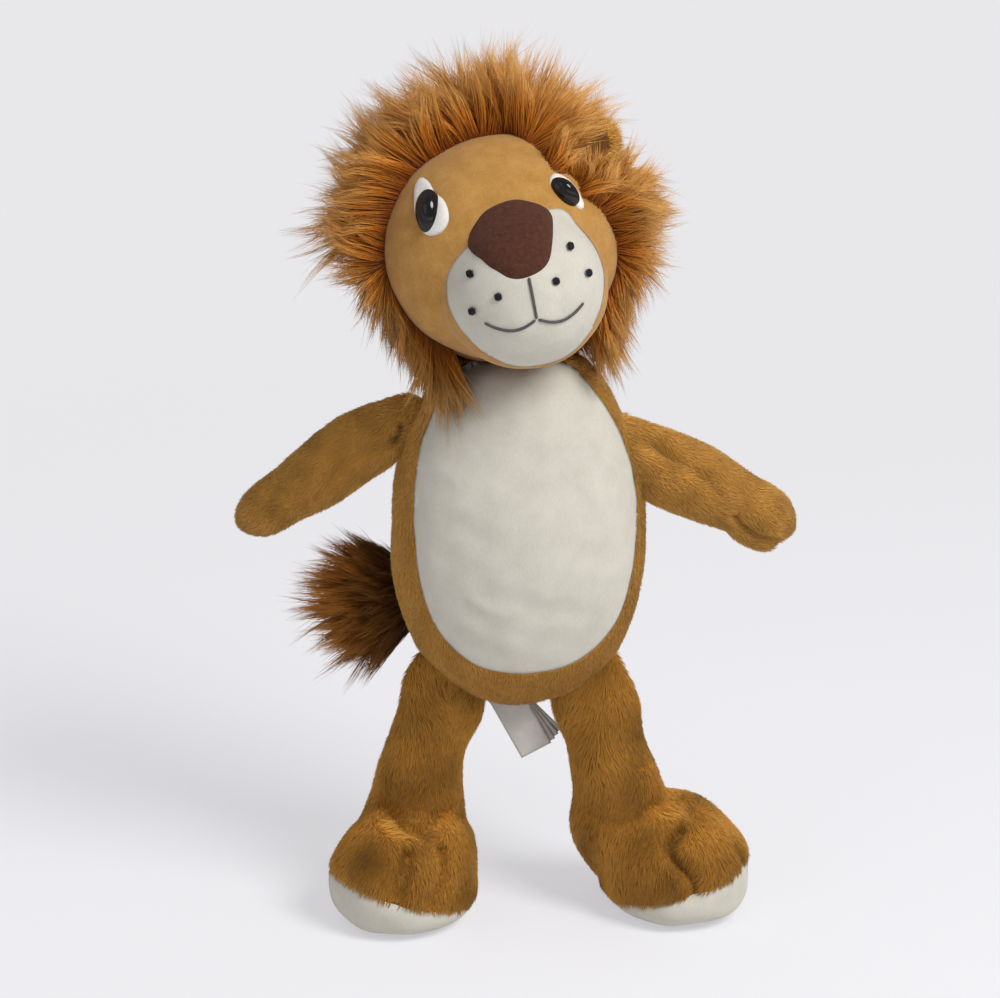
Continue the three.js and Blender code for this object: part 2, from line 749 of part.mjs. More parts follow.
// Everything under the sole's seam, which climbs from the heel to the toe.
function underSeam(stance, side, lift) {
  const slope = Math.atan2(toe_seam - heel_seam, foot_length);
  const deep = foot_down + foot_up;
  return new THREE.BoxGeometry(3 * foot_length, 3 * foot_length, deep)
    .translate(0, 0, -deep / 2)
    .rotateX(-slope)
    .translate(0, 0, (toe_seam + heel_seam) / 2 + lift)
    .rotateZ(side * radians(stance.splay))
    .translate(side * (stance.out - hip_spread), -stance.forward, 0);
}

// A thread draws the foot in on each side of the middle toe.
function makeToeStitches(leg, name, side, stance) {
  for (const [which, toe] of [['inner', -side], ['outer', side]]) {
    const around = toe * radians(groove_angle);
    const points = stitch_shares.map((share) => {
      const up = share * Math.PI / 2;
      const way = new THREE.Vector3(Math.sin(around), -Math.cos(around), 0)
        .multiplyScalar(Math.cos(up));
      way.z = Math.sin(up);
      return ontoFoot(way, 2 * gap + thread / 2).applyMatrix4(footPlace(stance, side));
    });
    addPiece(leg, `${name}_toe_stitch_${which}`, sewn(points), colours.leg, rough.thread);
  }
}

function makeLeg(name, side, stance) {
  const leg = new THREE.Group();
  leg.position.x = side * hip_spread;
  lion.add(leg);
  const pivot = new THREE.Vector3(side * hip_spread, 0, hip_lift);
  const clear = sweptTorso(leg, swungTurns(pivot, side_axis, leg_swing, swing_steps));
  const floor = solidOf(slab(-foot_down, 0));
  const lining_floor = solidOf(slab(-foot_down, cloth));
  const lining = legForm(-cloth, stance, side, thin, lined).subtract(lining_floor);
  const form = legForm(0, stance, side, slim, toed);
  const shell = form.subtract(lining).subtract(floor).subtract(clear);
  const cover = shell.subtract(solidOf(underSeam(stance, side, gap)));
  addPiece(leg, `${name}_leg_cover`, cover, colours.leg);
  const sole = shell.intersect(solidOf(underSeam(stance, side, 0)));
  addPiece(leg, `${name}_sole`, sole, colours.sole);
  const stuffing_floor = solidOf(slab(-foot_down, cloth + gap));
  const stuffing = legForm(-cloth - 2 * gap, stance, side, thin, lined).subtract(stuffing_floor);
  addPiece(leg, `${name}_leg_stuffing`, stuffing.subtract(clear), colours.fibre);
  makeToeStitches(leg, name, side, stance);
}

// Tail: a slim tube from the back, bent round to the lion's right, and a fur tuft on it.
const tail = new THREE.Group();
tail.position.set(0, 0, tail_height);
torso.add(tail);

function makeTail() {
  const back = torso_depth / 2;
  const curve = new THREE.CatmullRomCurve3([
    new THREE.Vector3(0, back - tail_width, 0),
    new THREE.Vector3(-tail_width / 2, back + tail_width / 4, 0),
    new THREE.Vector3(-tail_reach / 2, back + tail_width / 2, tail_rise / 2),
    new THREE.Vector3(-tail_reach, back, tail_rise),
  ]);
  const pivot = new THREE.Vector3(0, back - tail_width / 2, tail_height);
  const clear = sweptTorso(tail, swungTurns(pivot, up_axis, tail_swing, swing_steps));
  const bend = (grow) => solidOf(tube(curve, tail_width + 2 * grow, cord));
  const tuft = shaped(ball(tufted).rotateY(Math.PI / 2), (corner) => {
    const swell = lockSwell(Math.atan2(corner.y, corner.z), tuft_locks);
    const flat = Math.hypot(corner.y, corner.z);
    const stretch = (1 + tuft_lock_share * swell * flat) * (1 + tuft_taper_share * corner.x);
    corner.set(corner.x, corner.y * stretch, corner.z * stretch);
  }).scale(tuft_length / 2, tuft_width / 2, tuft_width / 2)
    .translate(-tail_reach - tuft_length * (0.5 - tuft_hold_share), back, tail_rise);
  addPiece(tail, 'tail', bend(0).subtract(clear), colours.body);
  addPiece(tail, 'tail_tuft', solidOf(tuft).subtract(bend(gap)).subtract(clear), colours.tuft);
}

function makeLabel() {
  const clear = solidOf(torso_clear);
  for (let i = 0; i < leaf_count; i += 1) {
    const leaf = new THREE.BoxGeometry(leaf_width, leaf_thick, leaf_length)
      .translate(0, 0, leaf_root - leaf_length / 2)
      .rotateY(-radians(leaf_turn + (i - 1) * leaf_fan))
      .translate(-leaf_shift_share * leaf_width, leaf_back + i * leaf_pitch, 0);
    addPiece(torso, `care_label_leaf_${i + 1}`, solidOf(leaf).subtract(clear), colours.satin, rough.satin);
  }
}

makeTorso();
makeNeck();
makeFace();
makeNose();
makeMouth();
makeDots();
makeEars();
makeArm('right', -1);
makeArm('left', 1);
makeLeg('right', -1, right_stance);
makeLeg('left', 1, left_stance);
makeTail();
makeLabel();

// The origin is on the floor, under the middle of the whole lion.
lion.updateMatrixWorld(true);
const middle = new THREE.Box3().setFromObject(lion, true).getCenter(new THREE.Vector3());
lion.position.set(-middle.x, -middle.y, 0);

export default lion;
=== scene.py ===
"""A plush lion: pile cloth skins, long-pile mane and tuft, embroidery and buttons.

Sizes are in millimetres and angles in degrees, until a mesh is handed to Blender, which
works in metres. The lion looks along -Y and its own left is +X.
"""

import json
import logging
import math
from collections.abc import Callable, Sequence
from dataclasses import dataclass, field
from enum import Enum

import bmesh
import bpy
import numpy as np
from mathutils import Matrix, Vector
from mathutils.bvhtree import BVHTree


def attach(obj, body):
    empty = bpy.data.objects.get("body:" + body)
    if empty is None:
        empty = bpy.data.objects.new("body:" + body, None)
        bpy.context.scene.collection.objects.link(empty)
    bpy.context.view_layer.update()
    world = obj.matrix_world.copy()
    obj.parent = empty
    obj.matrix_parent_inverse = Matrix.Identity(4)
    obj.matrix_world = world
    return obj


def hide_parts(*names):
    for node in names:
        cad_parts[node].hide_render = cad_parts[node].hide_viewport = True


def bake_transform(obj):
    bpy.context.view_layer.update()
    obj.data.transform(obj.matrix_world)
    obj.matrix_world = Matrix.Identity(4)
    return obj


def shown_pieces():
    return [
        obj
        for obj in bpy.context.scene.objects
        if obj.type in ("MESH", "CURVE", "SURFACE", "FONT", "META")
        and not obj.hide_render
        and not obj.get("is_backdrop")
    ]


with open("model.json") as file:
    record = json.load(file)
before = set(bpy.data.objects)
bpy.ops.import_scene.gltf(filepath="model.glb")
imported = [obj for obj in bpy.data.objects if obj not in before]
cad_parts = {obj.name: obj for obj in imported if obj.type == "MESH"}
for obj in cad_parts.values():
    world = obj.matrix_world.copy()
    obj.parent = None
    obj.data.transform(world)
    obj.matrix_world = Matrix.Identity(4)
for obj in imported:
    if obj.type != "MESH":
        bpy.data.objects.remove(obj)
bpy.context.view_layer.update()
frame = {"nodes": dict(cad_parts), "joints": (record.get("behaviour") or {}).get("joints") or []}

MM = 0.001
# How far in front of the lion a ray starts that looks for a skin, in millimetres.
FAR = 200.0
# How many frames the cloth solver runs.
SOLVER_FRAMES = 20
LOG = logging.getLogger("lion")
Rule = Callable[[np.ndarray], np.ndarray]


class Side(Enum):
    """The lion's own sides; the value is the sign of X."""

    RIGHT = -1
    LEFT = 1

    @property
    def word(self) -> str:
        """The side's name as the pieces carry it."""
        return self.name.lower()


# Small geometry


def pivot(joint: str) -> Vector:
    """The middle of a joint in millimetres."""
    row = next(row for row in frame["joints"] if row["name"] == joint)
    return Vector(row["pos_m"]) / MM


AXIS = Vector((pivot("neck_turn").x, pivot("neck_turn").y, 0.0))


def frame_at(x: float, y: float, z: float) -> Matrix:
    """A local frame, measured from the floor under the middle of the torso.

    Args:
        x: towards the lion's left.
        y: towards its back.
        z: above the floor.

    Returns:
        The matrix from the local frame to the part's frame, in millimetres.
    """
    return Matrix.Translation(AXIS + Vector((x, y, z)))


def moved(points: np.ndarray, matrix: Matrix) -> np.ndarray:
    """The points after a matrix."""
    m = np.array(matrix)
    return points @ m[:3, :3].T + m[:3, 3]


def turned(ways: np.ndarray, matrix: Matrix) -> np.ndarray:
    """The directions after a matrix."""
    return ways @ np.array(matrix)[:3, :3].T


def unit(ways: np.ndarray) -> np.ndarray:
    """The directions at length one."""
    return ways / np.maximum(np.linalg.norm(ways, axis=-1, keepdims=True), 1e-9)


def spline(points: np.ndarray, shares: np.ndarray) -> np.ndarray:
    """Points on a centripetal Catmull-Rom curve.

    Args:
        points: the stations, a row each.
        shares: how far along the stations each wanted point is, from 0 to 1.

    Returns:
        A row for each share.
    """
    ends = (2 * points[0] - points[1], 2 * points[-1] - points[-2])
    p = np.vstack([ends[0], points, ends[1]])
    along = np.clip(shares, 0, 1) * (len(points) - 1)
    i = np.minimum(along.astype(int), len(points) - 2)
    t = (along - i)[:, None]
    a, b, c, d = p[i], p[i + 1], p[i + 2], p[i + 3]

    def step(first: np.ndarray, second: np.ndarray) -> np.ndarray:
        """The knot spacing between two stations."""
        return np.maximum(np.sqrt(np.linalg.norm(second - first, axis=1)), 1e-4)[:, None]

    u, v, w = step(a, b), step(b, c), step(c, d)
    out = ((b - a) / u - (c - a) / (u + v) + (c - b) / v) * v
    back = ((c - b) / v - (d - b) / (v + w) + (d - c) / w) * v
    cube = 2 * b - 2 * c + out + back
    square = -3 * b + 3 * c - 2 * out - back
    return ((cube * t + square) * t + out) * t + b


def drift(points: np.ndarray, wave: float, seed: int) -> np.ndarray:
    """A smooth random field from about -1 to 1.

    Args:
        points: where it is read.
        wave: the usual size of one swell, in millimetres.
        seed: which field.

    Returns:
        A value for each point.
    """
    rng = np.random.default_rng(seed)
    total = np.zeros(len(points))
    for _ in range(7):
        way = unit(rng.normal(size=3))
        rate = 2 * math.pi / wave * rng.uniform(0.5, 1.4)
        total += np.sin(points @ way * rate + rng.uniform(0, 2 * math.pi))
    return total / 3.2


def from_line(points: np.ndarray, line: np.ndarray) -> np.ndarray:
    """How far each point is from a polyline."""
    best = np.full(len(points), np.inf)
    for first, second in zip(line[:-1], line[1:]):
        way = second - first
        share = np.clip((points - first) @ way / (way @ way), 0, 1)[:, None]
        best = np.minimum(best, np.linalg.norm(points - first - share * way, axis=1))
    return best


def egg_rule(width: float, depth: float, height: float) -> Rule:
    """Scales the unit ball to an egg of three full sizes."""
    half = np.array([width, depth, height]) / 2
    return lambda unit_ball: unit_ball * half


def stuffed_rule(stations: Sequence[tuple[float, ...]]) -> Rule:
    """The rule that turns the unit ball into a stuffed form round an upright spine.

    Args:
        stations: x, y and z of the spine, then the half width and the half depth.

    Returns:
        The rule; the closed ends come out round.
    """
    rows = np.array(stations, float)
    squares = np.column_stack([rows[:, 3:5] ** 2, np.zeros(len(rows))])
    rise = math.copysign(1, rows[-1, 2] - rows[0, 2])

    def rule(points: np.ndarray) -> np.ndarray:
        """Places each corner of the ball."""
        share = np.clip((1 + rise * points[:, 2]) / 2, 0, 1)
        middle, half = spline(rows[:, :3], share), spline(squares, share)
        flat = np.maximum(np.linalg.norm(points[:, :2], axis=1), 1e-6)
        ring = points[:, :2] / flat[:, None] * np.sqrt(np.maximum(half[:, :2], 0))
        return middle + np.column_stack([ring, np.zeros(len(points))])

    return rule


# Meshes


def coords(thing: bpy.types.Object) -> np.ndarray:
    """The corners of an object's mesh in millimetres."""
    flat = np.empty(len(thing.data.vertices) * 3)
    thing.data.vertices.foreach_get("co", flat)
    return flat.reshape(-1, 3) / MM


def set_coords(thing: bpy.types.Object, points: np.ndarray) -> None:
    """Moves the corners of an object's mesh to places in millimetres."""
    thing.data.vertices.foreach_set("co", (points * MM).ravel())
    thing.data.update()


def normals(thing: bpy.types.Object) -> np.ndarray:
    """The direction out of the mesh at each corner."""
    flat = np.empty(len(thing.data.vertices) * 3)
    thing.data.vertices.foreach_get("normal", flat)
    return flat.reshape(-1, 3)


def object_from(name: str, bm: bmesh.types.BMesh) -> bpy.types.Object:
    """A shaded-smooth object from a bmesh in millimetres."""
    bmesh.ops.recalc_face_normals(bm, faces=bm.faces)
    bm.transform(Matrix.Scale(MM, 4))
    mesh = bpy.data.meshes.new(name)
    bm.to_mesh(mesh)
    bm.free()
    mesh.shade_smooth()
    thing = bpy.data.objects.new(name, mesh)
    bpy.context.collection.objects.link(thing)
    return thing


def add_ball(bm: bmesh.types.BMesh, around: int, along: int, rule: Rule, place: Matrix) -> None:
    """Adds a unit ball that a rule shapes, in a local frame.

    Args:
        bm: takes the ball.
        around: faces round it.
        along: faces from pole to pole.
        rule: where each of its corners goes.
        place: the local frame.
    """
    made = bmesh.ops.create_uvsphere(bm, u_segments=around, v_segments=along, radius=1)["verts"]
    places = moved(rule(np.array([v.co for v in made])), place)
    for vert, point in zip(made, places):
        vert.co = point


def ball_object(name: str, around: int, along: int, rule: Rule, place: Matrix) -> bpy.types.Object:
    """An object from one shaped ball."""
    bm = bmesh.new()
    add_ball(bm, around, along, rule, place)
    return object_from(name, bm)


def bake_modifiers(thing: bpy.types.Object) -> None:
    """Applies an object's modifiers to its mesh."""
    bpy.context.view_layer.update()
    depsgraph = bpy.context.evaluated_depsgraph_get()
    mesh = bpy.data.meshes.new_from_object(thing.evaluated_get(depsgraph))
    thing.modifiers.clear()
    old, thing.data = thing.data, mesh
    bpy.data.meshes.remove(old)
    mesh.name = thing.name
    mesh.shade_smooth()


def fused(thing: bpy.types.Object, voxel: float, passes: int) -> None:
    """Makes one soft skin of overlapping forms.

    Args:
        thing: holds the forms.
        voxel: the size of the new faces.
        passes: how many times the joins between the forms are smoothed.
    """
    remesh = thing.modifiers.new("remesh", "REMESH")
    remesh.mode, remesh.voxel_size = "VOXEL", voxel * MM
    if passes:
        smooth = thing.modifiers.new("smooth", "SMOOTH")
        smooth.factor, smooth.iterations = 0.5, passes
    bake_modifiers(thing)


def cut_open(thing: bpy.types.Object, middle: Vector, out: Vector) -> None:
    """Cuts away what lies on the far side of a plane, and closes the cut.

    Args:
        thing: the closed piece.
        middle: a point of the plane, in millimetres.
        out: the side that is cut away.
    """
    bm = bmesh.new()
    bm.from_mesh(thing.data)
    everything = [*bm.verts, *bm.edges, *bm.faces]
    cut = bmesh.ops.bisect_plane(
        bm, geom=everything, dist=1e-7, plane_co=middle * MM, plane_no=out, clear_outer=True
    )["geom_cut"]
    rim = [edge for edge in cut if isinstance(edge, bmesh.types.BMEdge)]
    bmesh.ops.holes_fill(bm, edges=rim, sides=0)
    bmesh.ops.triangulate(bm, faces=[face for face in bm.faces if len(face.verts) > 4])
    bmesh.ops.recalc_face_normals(bm, faces=bm.faces)
    bm.to_mesh(thing.data)
    bm.free()
    thing.data.shade_smooth()


def copy_of(thing: bpy.types.Object, name: str) -> bpy.types.Object:
    """A copy of an object with its own mesh."""
    twin = thing.copy()
    twin.data = thing.data.copy()
    twin.name = twin.data.name = name
    bpy.context.collection.objects.link(twin)
    return twin


def lumpy(thing: bpy.types.Object, height: float, wave: float, seed: int) -> None:
    """Gives a skin the soft lumps of its stuffing.

    Args:
        thing: the skin.
        height: how high the lumps are.
        wave: how far apart they are.
        seed: which random field.
    """
    points = coords(thing)
    swell = drift(points, wave, seed) * height
    set_coords(thing, points + normals(thing) * swell[:, None])


def swollen(thing: bpy.types.Object, cap: float) -> None:
    """Blows a stuffed skin up with the cloth solver, from a slightly smaller start.

    Args:
        thing: the closed skin.
        cap: how far a corner may move.
    """
    start = coords(thing)
    twin = copy_of(thing, thing.name + "_trial")
    set_coords(twin, start - normals(twin) * cap / 3)
    cloth = twin.modifiers.new("cloth", "CLOTH")
    cloth.settings.quality = 5
    cloth.settings.mass = 0.2
    cloth.settings.tension_stiffness = cloth.settings.compression_stiffness = 12
    cloth.settings.bending_stiffness = 0.6
    cloth.settings.use_pressure = True
    cloth.settings.uniform_pressure_force = 4
    cloth.settings.effector_weights.gravity = 0
    cloth.point_cache.frame_start, cloth.point_cache.frame_end = 1, SOLVER_FRAMES
    for number in range(1, SOLVER_FRAMES + 1):
        bpy.context.scene.frame_set(number)
    bake_modifiers(twin)
    step = coords(twin) - start
    size = np.maximum(np.linalg.norm(step, axis=1, keepdims=True), 1e-6)
    set_coords(thing, start + step * np.minimum(1, cap / size))
    bpy.context.scene.frame_set(1)
    bpy.data.objects.remove(twin)


@dataclass(frozen=True)
class Stuffing:
    """How a skin is drawn over its stuffed forms.

    Attributes:
        voxel: the size of its faces.
        passes: how many times the joins between the forms are smoothed.
        blow: how far the cloth solver may blow it up; none where it is 0.
        lump: how high the stuffing's lumps are.
        wave: how far apart they are.
    """

    voxel: float
    passes: int
    blow: float
    lump: float
    wave: float

    def fill(self, skin: bpy.types.Object, seed: int) -> None:
        """Makes one soft skin of the forms, blows it up and gives it its lumps.

        Args:
            skin: holds the forms.
            seed: which random field its lumps follow.
        """
        fused(skin, self.voxel, self.passes)
        if self.blow:
            swollen(skin, self.blow)
        lumpy(skin, self.lump, self.wave, seed)


# Materials


def linear(code: str) -> tuple[float, float, float, float]:
    """An sRGB hex colour as Blender's linear colour."""
    parts = [int(code[i : i + 2], 16) / 255 for i in (1, 3, 5)]
    return (*[p / 12.92 if p <= 0.04045 else ((p + 0.055) / 1.055) ** 2.4 for p in parts], 1.0)


def plug(tree: bpy.types.NodeTree, node: bpy.types.Node, settings: dict, links: dict) -> None:
    """Sets and feeds a node.

    Args:
        tree: the material's nodes.
        node: one of them.
        settings: attributes by name, and input values by number or name in brackets.
        links: the output that feeds each input.
    """
    for key, value in settings.items():
        if isinstance(key, int) or key.startswith("["):
            node.inputs[key if isinstance(key, int) else key[1:-1]].default_value = value
        else:
            setattr(node, key, value)
    for key, output in links.items():
        tree.links.new(output, node.inputs[key])


def add(tree: bpy.types.NodeTree, kind: str, settings: dict, links: dict) -> bpy.types.Node:
    """Adds a node of a kind, then sets and feeds it as plug does."""
    node = tree.nodes.new(kind)
    plug(tree, node, settings, links)
    return node


def new_material(name: str) -> tuple[bpy.types.Material, bpy.types.NodeTree, bpy.types.Node]:
    """A material with nodes, its tree and its Principled shader."""
    made = bpy.data.materials.new(name)
    made.use_nodes = True
    return made, made.node_tree, made.node_tree.nodes["Principled BSDF"]


def ramp(tree: bpy.types.NodeTree, factor: bpy.types.NodeSocket,
         stops: dict[float, str]) -> bpy.types.NodeSocket:
    """A colour ramp with the given stops, and its colour output."""
    node = add(tree, "ShaderNodeValToRGB", {}, {0: factor})
    elements = node.color_ramp.elements
    while len(elements) < len(stops):
        elements.new(0.5)
    for element, (place, code) in zip(elements, sorted(stops.items())):
        element.position, element.color = place, linear(code)
    return node.outputs[0]


@dataclass(frozen=True)
class PileFinish:
    """Polyester pile: each fibre's colour darkens towards its root as painted shade, and pales towards
    its tip as a painted highlight.

    Attributes:
        name: the material's name.
        root: a fibre's colour where it leaves the cloth.
        middle: its colour half way.
        tip: its colour at the end, and the tint of its sheen.
        dark: what the darkest fibres' colour is multiplied by.
        pale: what the palest fibres' colour is multiplied by.
        roughness: of a middling fibre.
        sheen: how much it glows at a low angle.
    """

    name: str
    root: str
    middle: str
    tip: str
    dark: str
    pale: str
    roughness: float = 0.7
    sheen: float = 0.06

    def material(self) -> bpy.types.Material:
        """The fibres' material; u runs along a fibre and v is its tone."""
        made, tree, shader = new_material(self.name)
        place = add(tree, "ShaderNodeUVMap", {"uv_map": "OFBake"}, {})
        parts = add(tree, "ShaderNodeSeparateXYZ", {}, {0: place.outputs[0]})
        # The root-to-tip ramp holds painted shade at the root and a painted highlight at the tip.
        along = ramp(tree, parts.outputs[0], {0.0: self.root, 0.45: self.middle, 1.0: self.tip})
        tone = ramp(tree, parts.outputs[1], {0.0: self.dark, 0.5: "#E2E2E2", 1.0: self.pale})
        mixed = add(
            tree,
            "ShaderNodeMix",
            {"data_type": "RGBA", "blend_type": "MULTIPLY", 0: 1.0},
            {6: along, 7: tone},
        )
        rough = add(
            tree,
            "ShaderNodeMapRange",
            {3: self.roughness + 0.1, 4: self.roughness - 0.1},
            {0: parts.outputs[1]},
        )
        gloss = {"[Sheen Weight]": self.sheen, "[Sheen Roughness]": 0.4,
                 "[Sheen Tint]": linear(self.tip), "[Specular IOR Level]": 0.2}
        plug(tree, shader, gloss, {"Base Color": mixed.outputs[2], "Roughness": rough.outputs[0]})
        return made


@dataclass(frozen=True)
class ClothFinish:
    """Knitted or felted cloth: mottled colour, a fine grain and a soft, dull surface.

    Attributes:
        name: the material's name.
        dark: the darkest colour of the mottle.
        pale: the palest.
        mottle: how large a patch is, in millimetres.
        grain: how large a grain of the surface is, in millimetres.
        bump: how high a grain stands, in millimetres.
        roughness: of the cloth.
        sheen: how much it glows at a low angle.
        brushed: how much the grain is squeezed upright; below 1 it runs along the nap.
    """

    name: str
    dark: str
    pale: str
    mottle: float
    grain: float
    bump: float
    roughness: float = 0.9
    sheen: float = 0.05
    brushed: float = 1.0

    def material(self) -> bpy.types.Material:
        """The cloth's material."""
        made, tree, shader = new_material(self.name)
        place = add(tree, "ShaderNodeTexCoord", {}, {})
        spots = add(
            tree,
            "ShaderNodeTexNoise",
            {"[Scale]": 1 / (self.mottle * MM), "[Detail]": 4.0, "[Roughness]": 0.6},
            {0: place.outputs["Object"]},
        )
        nap = add(
            tree,
            "ShaderNodeMapping",
            {"[Scale]": (1, 1, self.brushed)},
            {0: place.outputs["Object"]},
        )
        fine = add(
            tree,
            "ShaderNodeTexNoise",
            {"[Scale]": 1 / (self.grain * MM), "[Detail]": 3.0, "[Roughness]": 0.7},
            {0: nap.outputs[0]},
        )
        both = add(
            tree,
            "ShaderNodeMath",
            {"operation": "MULTIPLY_ADD", 1: 0.45, 2: 0.05},
            {0: fine.outputs[0]},
        )
        total = add(
            tree,
            "ShaderNodeMath",
            {"operation": "MULTIPLY_ADD", 1: 0.5},
            {0: spots.outputs[0], 2: both.outputs[0]},
        )
        colour = ramp(tree, total.outputs[0], {0.35: self.dark, 0.65: self.pale})
        rough = add(
            tree,
            "ShaderNodeMapRange",
            {3: self.roughness - 0.08, 4: self.roughness + 0.06},
            {0: fine.outputs[0]},
        )
        raised = add(
            tree,
            "ShaderNodeBump",
            {"[Strength]": 0.6, "[Distance]": self.bump * MM},
            {"Height": fine.outputs[0]},
        )
        gloss = {"[Sheen Weight]": self.sheen, "[Specular IOR Level]": 0.2}
        links = {"Base Color": colour, "Roughness": rough.outputs[0], "Normal": raised.outputs[0]}
        plug(tree, shader, gloss, links)
        return made


@dataclass(frozen=True)
class HardFinish:
    """Moulded plastic: faint unevenness, 3 mm across, under a gloss."""

    name: str
    dark: str
    pale: str
    roughness: float
    coat: float

    def material(self) -> bpy.types.Material:
        """The plastic's material."""
        made, tree, shader = new_material(self.name)
        place = add(tree, "ShaderNodeTexCoord", {}, {})
        spots = add(
            tree,
            "ShaderNodeTexNoise",
            {"[Scale]": 1 / (3 * MM), "[Detail]": 2.0},
            {0: place.outputs["Object"]},
        )
        colour = ramp(tree, spots.outputs[0], {0.3: self.dark, 0.7: self.pale})
        rough = add(
            tree,
            "ShaderNodeMapRange",
            {3: self.roughness * 0.7, 4: self.roughness * 1.3},
            {0: spots.outputs[0]},
        )
        raised = add(
            tree,
            "ShaderNodeBump",
            {"[Strength]": 0.1, "[Distance]": 0.02 * MM},
            {"Height": spots.outputs[0]},
        )
        gloss = {"[Specular IOR Level]": 0.3, "[Coat Weight]": self.coat, "[Coat Roughness]": 0.04}
        links = {"Base Color": colour, "Roughness": rough.outputs[0], "Normal": raised.outputs[0]}
        plug(tree, shader, gloss, links)
        return made


class Finish(Enum):
    """Every finish on the lion."""

    # Minky pile on the torso, the arms, the tail and the ears: short, dense and golden.
    BODY_PILE = PileFinish("minky_pile_gold", "#AC7628", "#DCA048", "#F0C072", "#A4A4A4", "#FFFFFF")
    # Its knitted backing is darker and duller, and shows where the pile parts.
    BODY_CLOTH = ClothFinish("minky_backing_gold", "#8A5C1E", "#A0702A", 6.0, 0.8, 0.3)
    # The face's velboa has so short a nap that only its brushed grain shows.
    FACE_CLOTH = ClothFinish(
        "velboa_nap_gold", "#966A2C", "#B08446", 7.0, 0.55, 0.22, sheen=0.12, brushed=0.4
    )
    # The same on the belly, the muzzle and the soles, in cream that darkens softly in its folds.
    CREAM_CLOTH = ClothFinish(
        "velboa_nap_cream", "#B0AC9F", "#BEBAAD", 9.0, 0.55, 0.16, sheen=0.1, brushed=0.4
    )
    # The legs' plush has a longer, browner pile that parts into darker and paler strokes.
    LEG_PILE = PileFinish("plush_pile_brown", "#A86C1E", "#DC9834", "#F4C06C", "#989898", "#FFFFFF")
    LEG_CLOTH = ClothFinish("plush_backing_brown", "#6A4210", "#8A5A1C", 6.0, 0.9, 0.3)
    # Long-pile fur: russet at the roots and gold at the tips, on a dark knitted backing; the dark roots
    # are partly painted shade and the gold tips partly a painted highlight.
    MANE_PILE = PileFinish("fur_pile_russet", "#96480C", "#DA8628", "#F2BC6C", "#A8A8A8", "#FFFFFF", 0.5)
    MANE_CLOTH = ClothFinish("fur_backing_russet", "#5E2E0E", "#7A4216", 6.0, 1.0, 0.4)
    # The tuft's fur is nearly black at its roots, on a nearly black backing: partly its own colour,
    # partly painted shade deep in the fur.
    TUFT_PILE = PileFinish("fur_pile_umber", "#1E0C04", "#8E480C", "#DC963E", "#8A8A8A", "#FFFFFF", 0.5)
    TUFT_CLOTH = ClothFinish("fur_backing_umber", "#1A0D06", "#2E160A", 6.0, 1.0, 0.4)
    # The ear's dish is lined with the minky backing painted browner and darker, as shade in the ear's
    # hollow.
    EAR_SHADE_CLOTH = ClothFinish("minky_backing_painted_shade", "#4A2A0E", "#6E441A", 5.0, 0.8, 0.4)
    # Felt has no pile, only matted fibres, so its colour is dull and speckled.
    NOSE_FELT = ClothFinish("wool_felt_brown", "#33190F", "#55301F", 1.6, 0.45, 0.5)
    WHITE_FELT = ClothFinish("wool_felt_white", "#C8C5BE", "#D6D3CC", 3.0, 0.45, 0.2)
    # Rayon embroidery thread: a faint gloss on each laid strand.
    MOUTH_THREAD = ClothFinish("rayon_thread_grey", "#3A3638", "#56524F", 2.0, 0.3, 0.1, 0.6)
    DOT_THREAD = ClothFinish("rayon_thread_black", "#08060A", "#16121A", 2.0, 0.3, 0.1, 0.6)
    SEWING_THREAD = ClothFinish("polyester_thread_brown", "#4A2C0C", "#5E3A12", 2.0, 0.3, 0.1, 0.7)
    # The care label is satin tape, bright and faintly ribbed; its grey is painted shade under the torso,
    # and stands in for its dark print, which is not drawn.
    SATIN = ClothFinish("polyester_satin_white", "#ACA8A1", "#BFBBB4", 5.0, 0.35, 0.04, 0.5)
    # The eye buttons are polished ABS, a black pupil in an umber rim; nylon locks them behind.
    EYE_BLACK = HardFinish("abs_black_polished", "#020101", "#040303", 0.12, 0.2)
    EYE_RIM = HardFinish("abs_umber_polished", "#0E0A08", "#181210", 0.22, 0.1)
    NYLON = HardFinish("nylon_natural", "#C4C4BE", "#D8D8D2", 0.45, 0.0)


_MADE: dict[Finish, bpy.types.Material] = {}


def dress(thing: bpy.types.Object, finish: Finish) -> bpy.types.Object:
    """Gives a piece its one material."""
    if finish not in _MADE:
        _MADE[finish] = finish.value.material()
    thing.data.materials.clear()
    thing.data.materials.append(_MADE[finish])
    return thing


# Pile


@dataclass(frozen=True)
class Roots:
    """Where fibres grow: their places and the ways out of the cloth."""

    places: np.ndarray
    ways: np.ndarray

    def kept(self, wanted: np.ndarray) -> "Roots":
        """Only the wanted ones."""
        return Roots(self.places[wanted], self.ways[wanted])


def sown(skin: bpy.types.Object, density: float, seed: int) -> Roots:
    """Spreads fibre roots evenly over a skin.

    Args:
        skin: the cloth.
        density: roots to a square millimetre.
        seed: which random draw.

    Returns:
        The roots.
    """
    mesh = skin.data
    mesh.calc_loop_triangles()
    corners = np.empty(len(mesh.loop_triangles) * 3, int)
    mesh.loop_triangles.foreach_get("vertices", corners)
    corners = corners.reshape(-1, 3)
    points, ways = coords(skin), normals(skin)
    a, b, c = (points[corners[:, i]] for i in range(3))
    area = np.linalg.norm(np.cross(b - a, c - a), axis=1) / 2
    rng = np.random.default_rng(seed)
    count = int(area.sum() * density)
    chosen = rng.choice(len(area), count, p=area / area.sum())
    u, v = rng.random((2, count, 1))
    over = u + v > 1
    u, v = np.where(over, 1 - u, u), np.where(over, 1 - v, v)
    w = 1 - u - v
    places = w * a[chosen] + u * b[chosen] + v * c[chosen]
    out = [ways[corners[chosen, i]] for i in range(3)]
    return Roots(places, unit(w * out[0] + u * out[1] + v * out[2]))


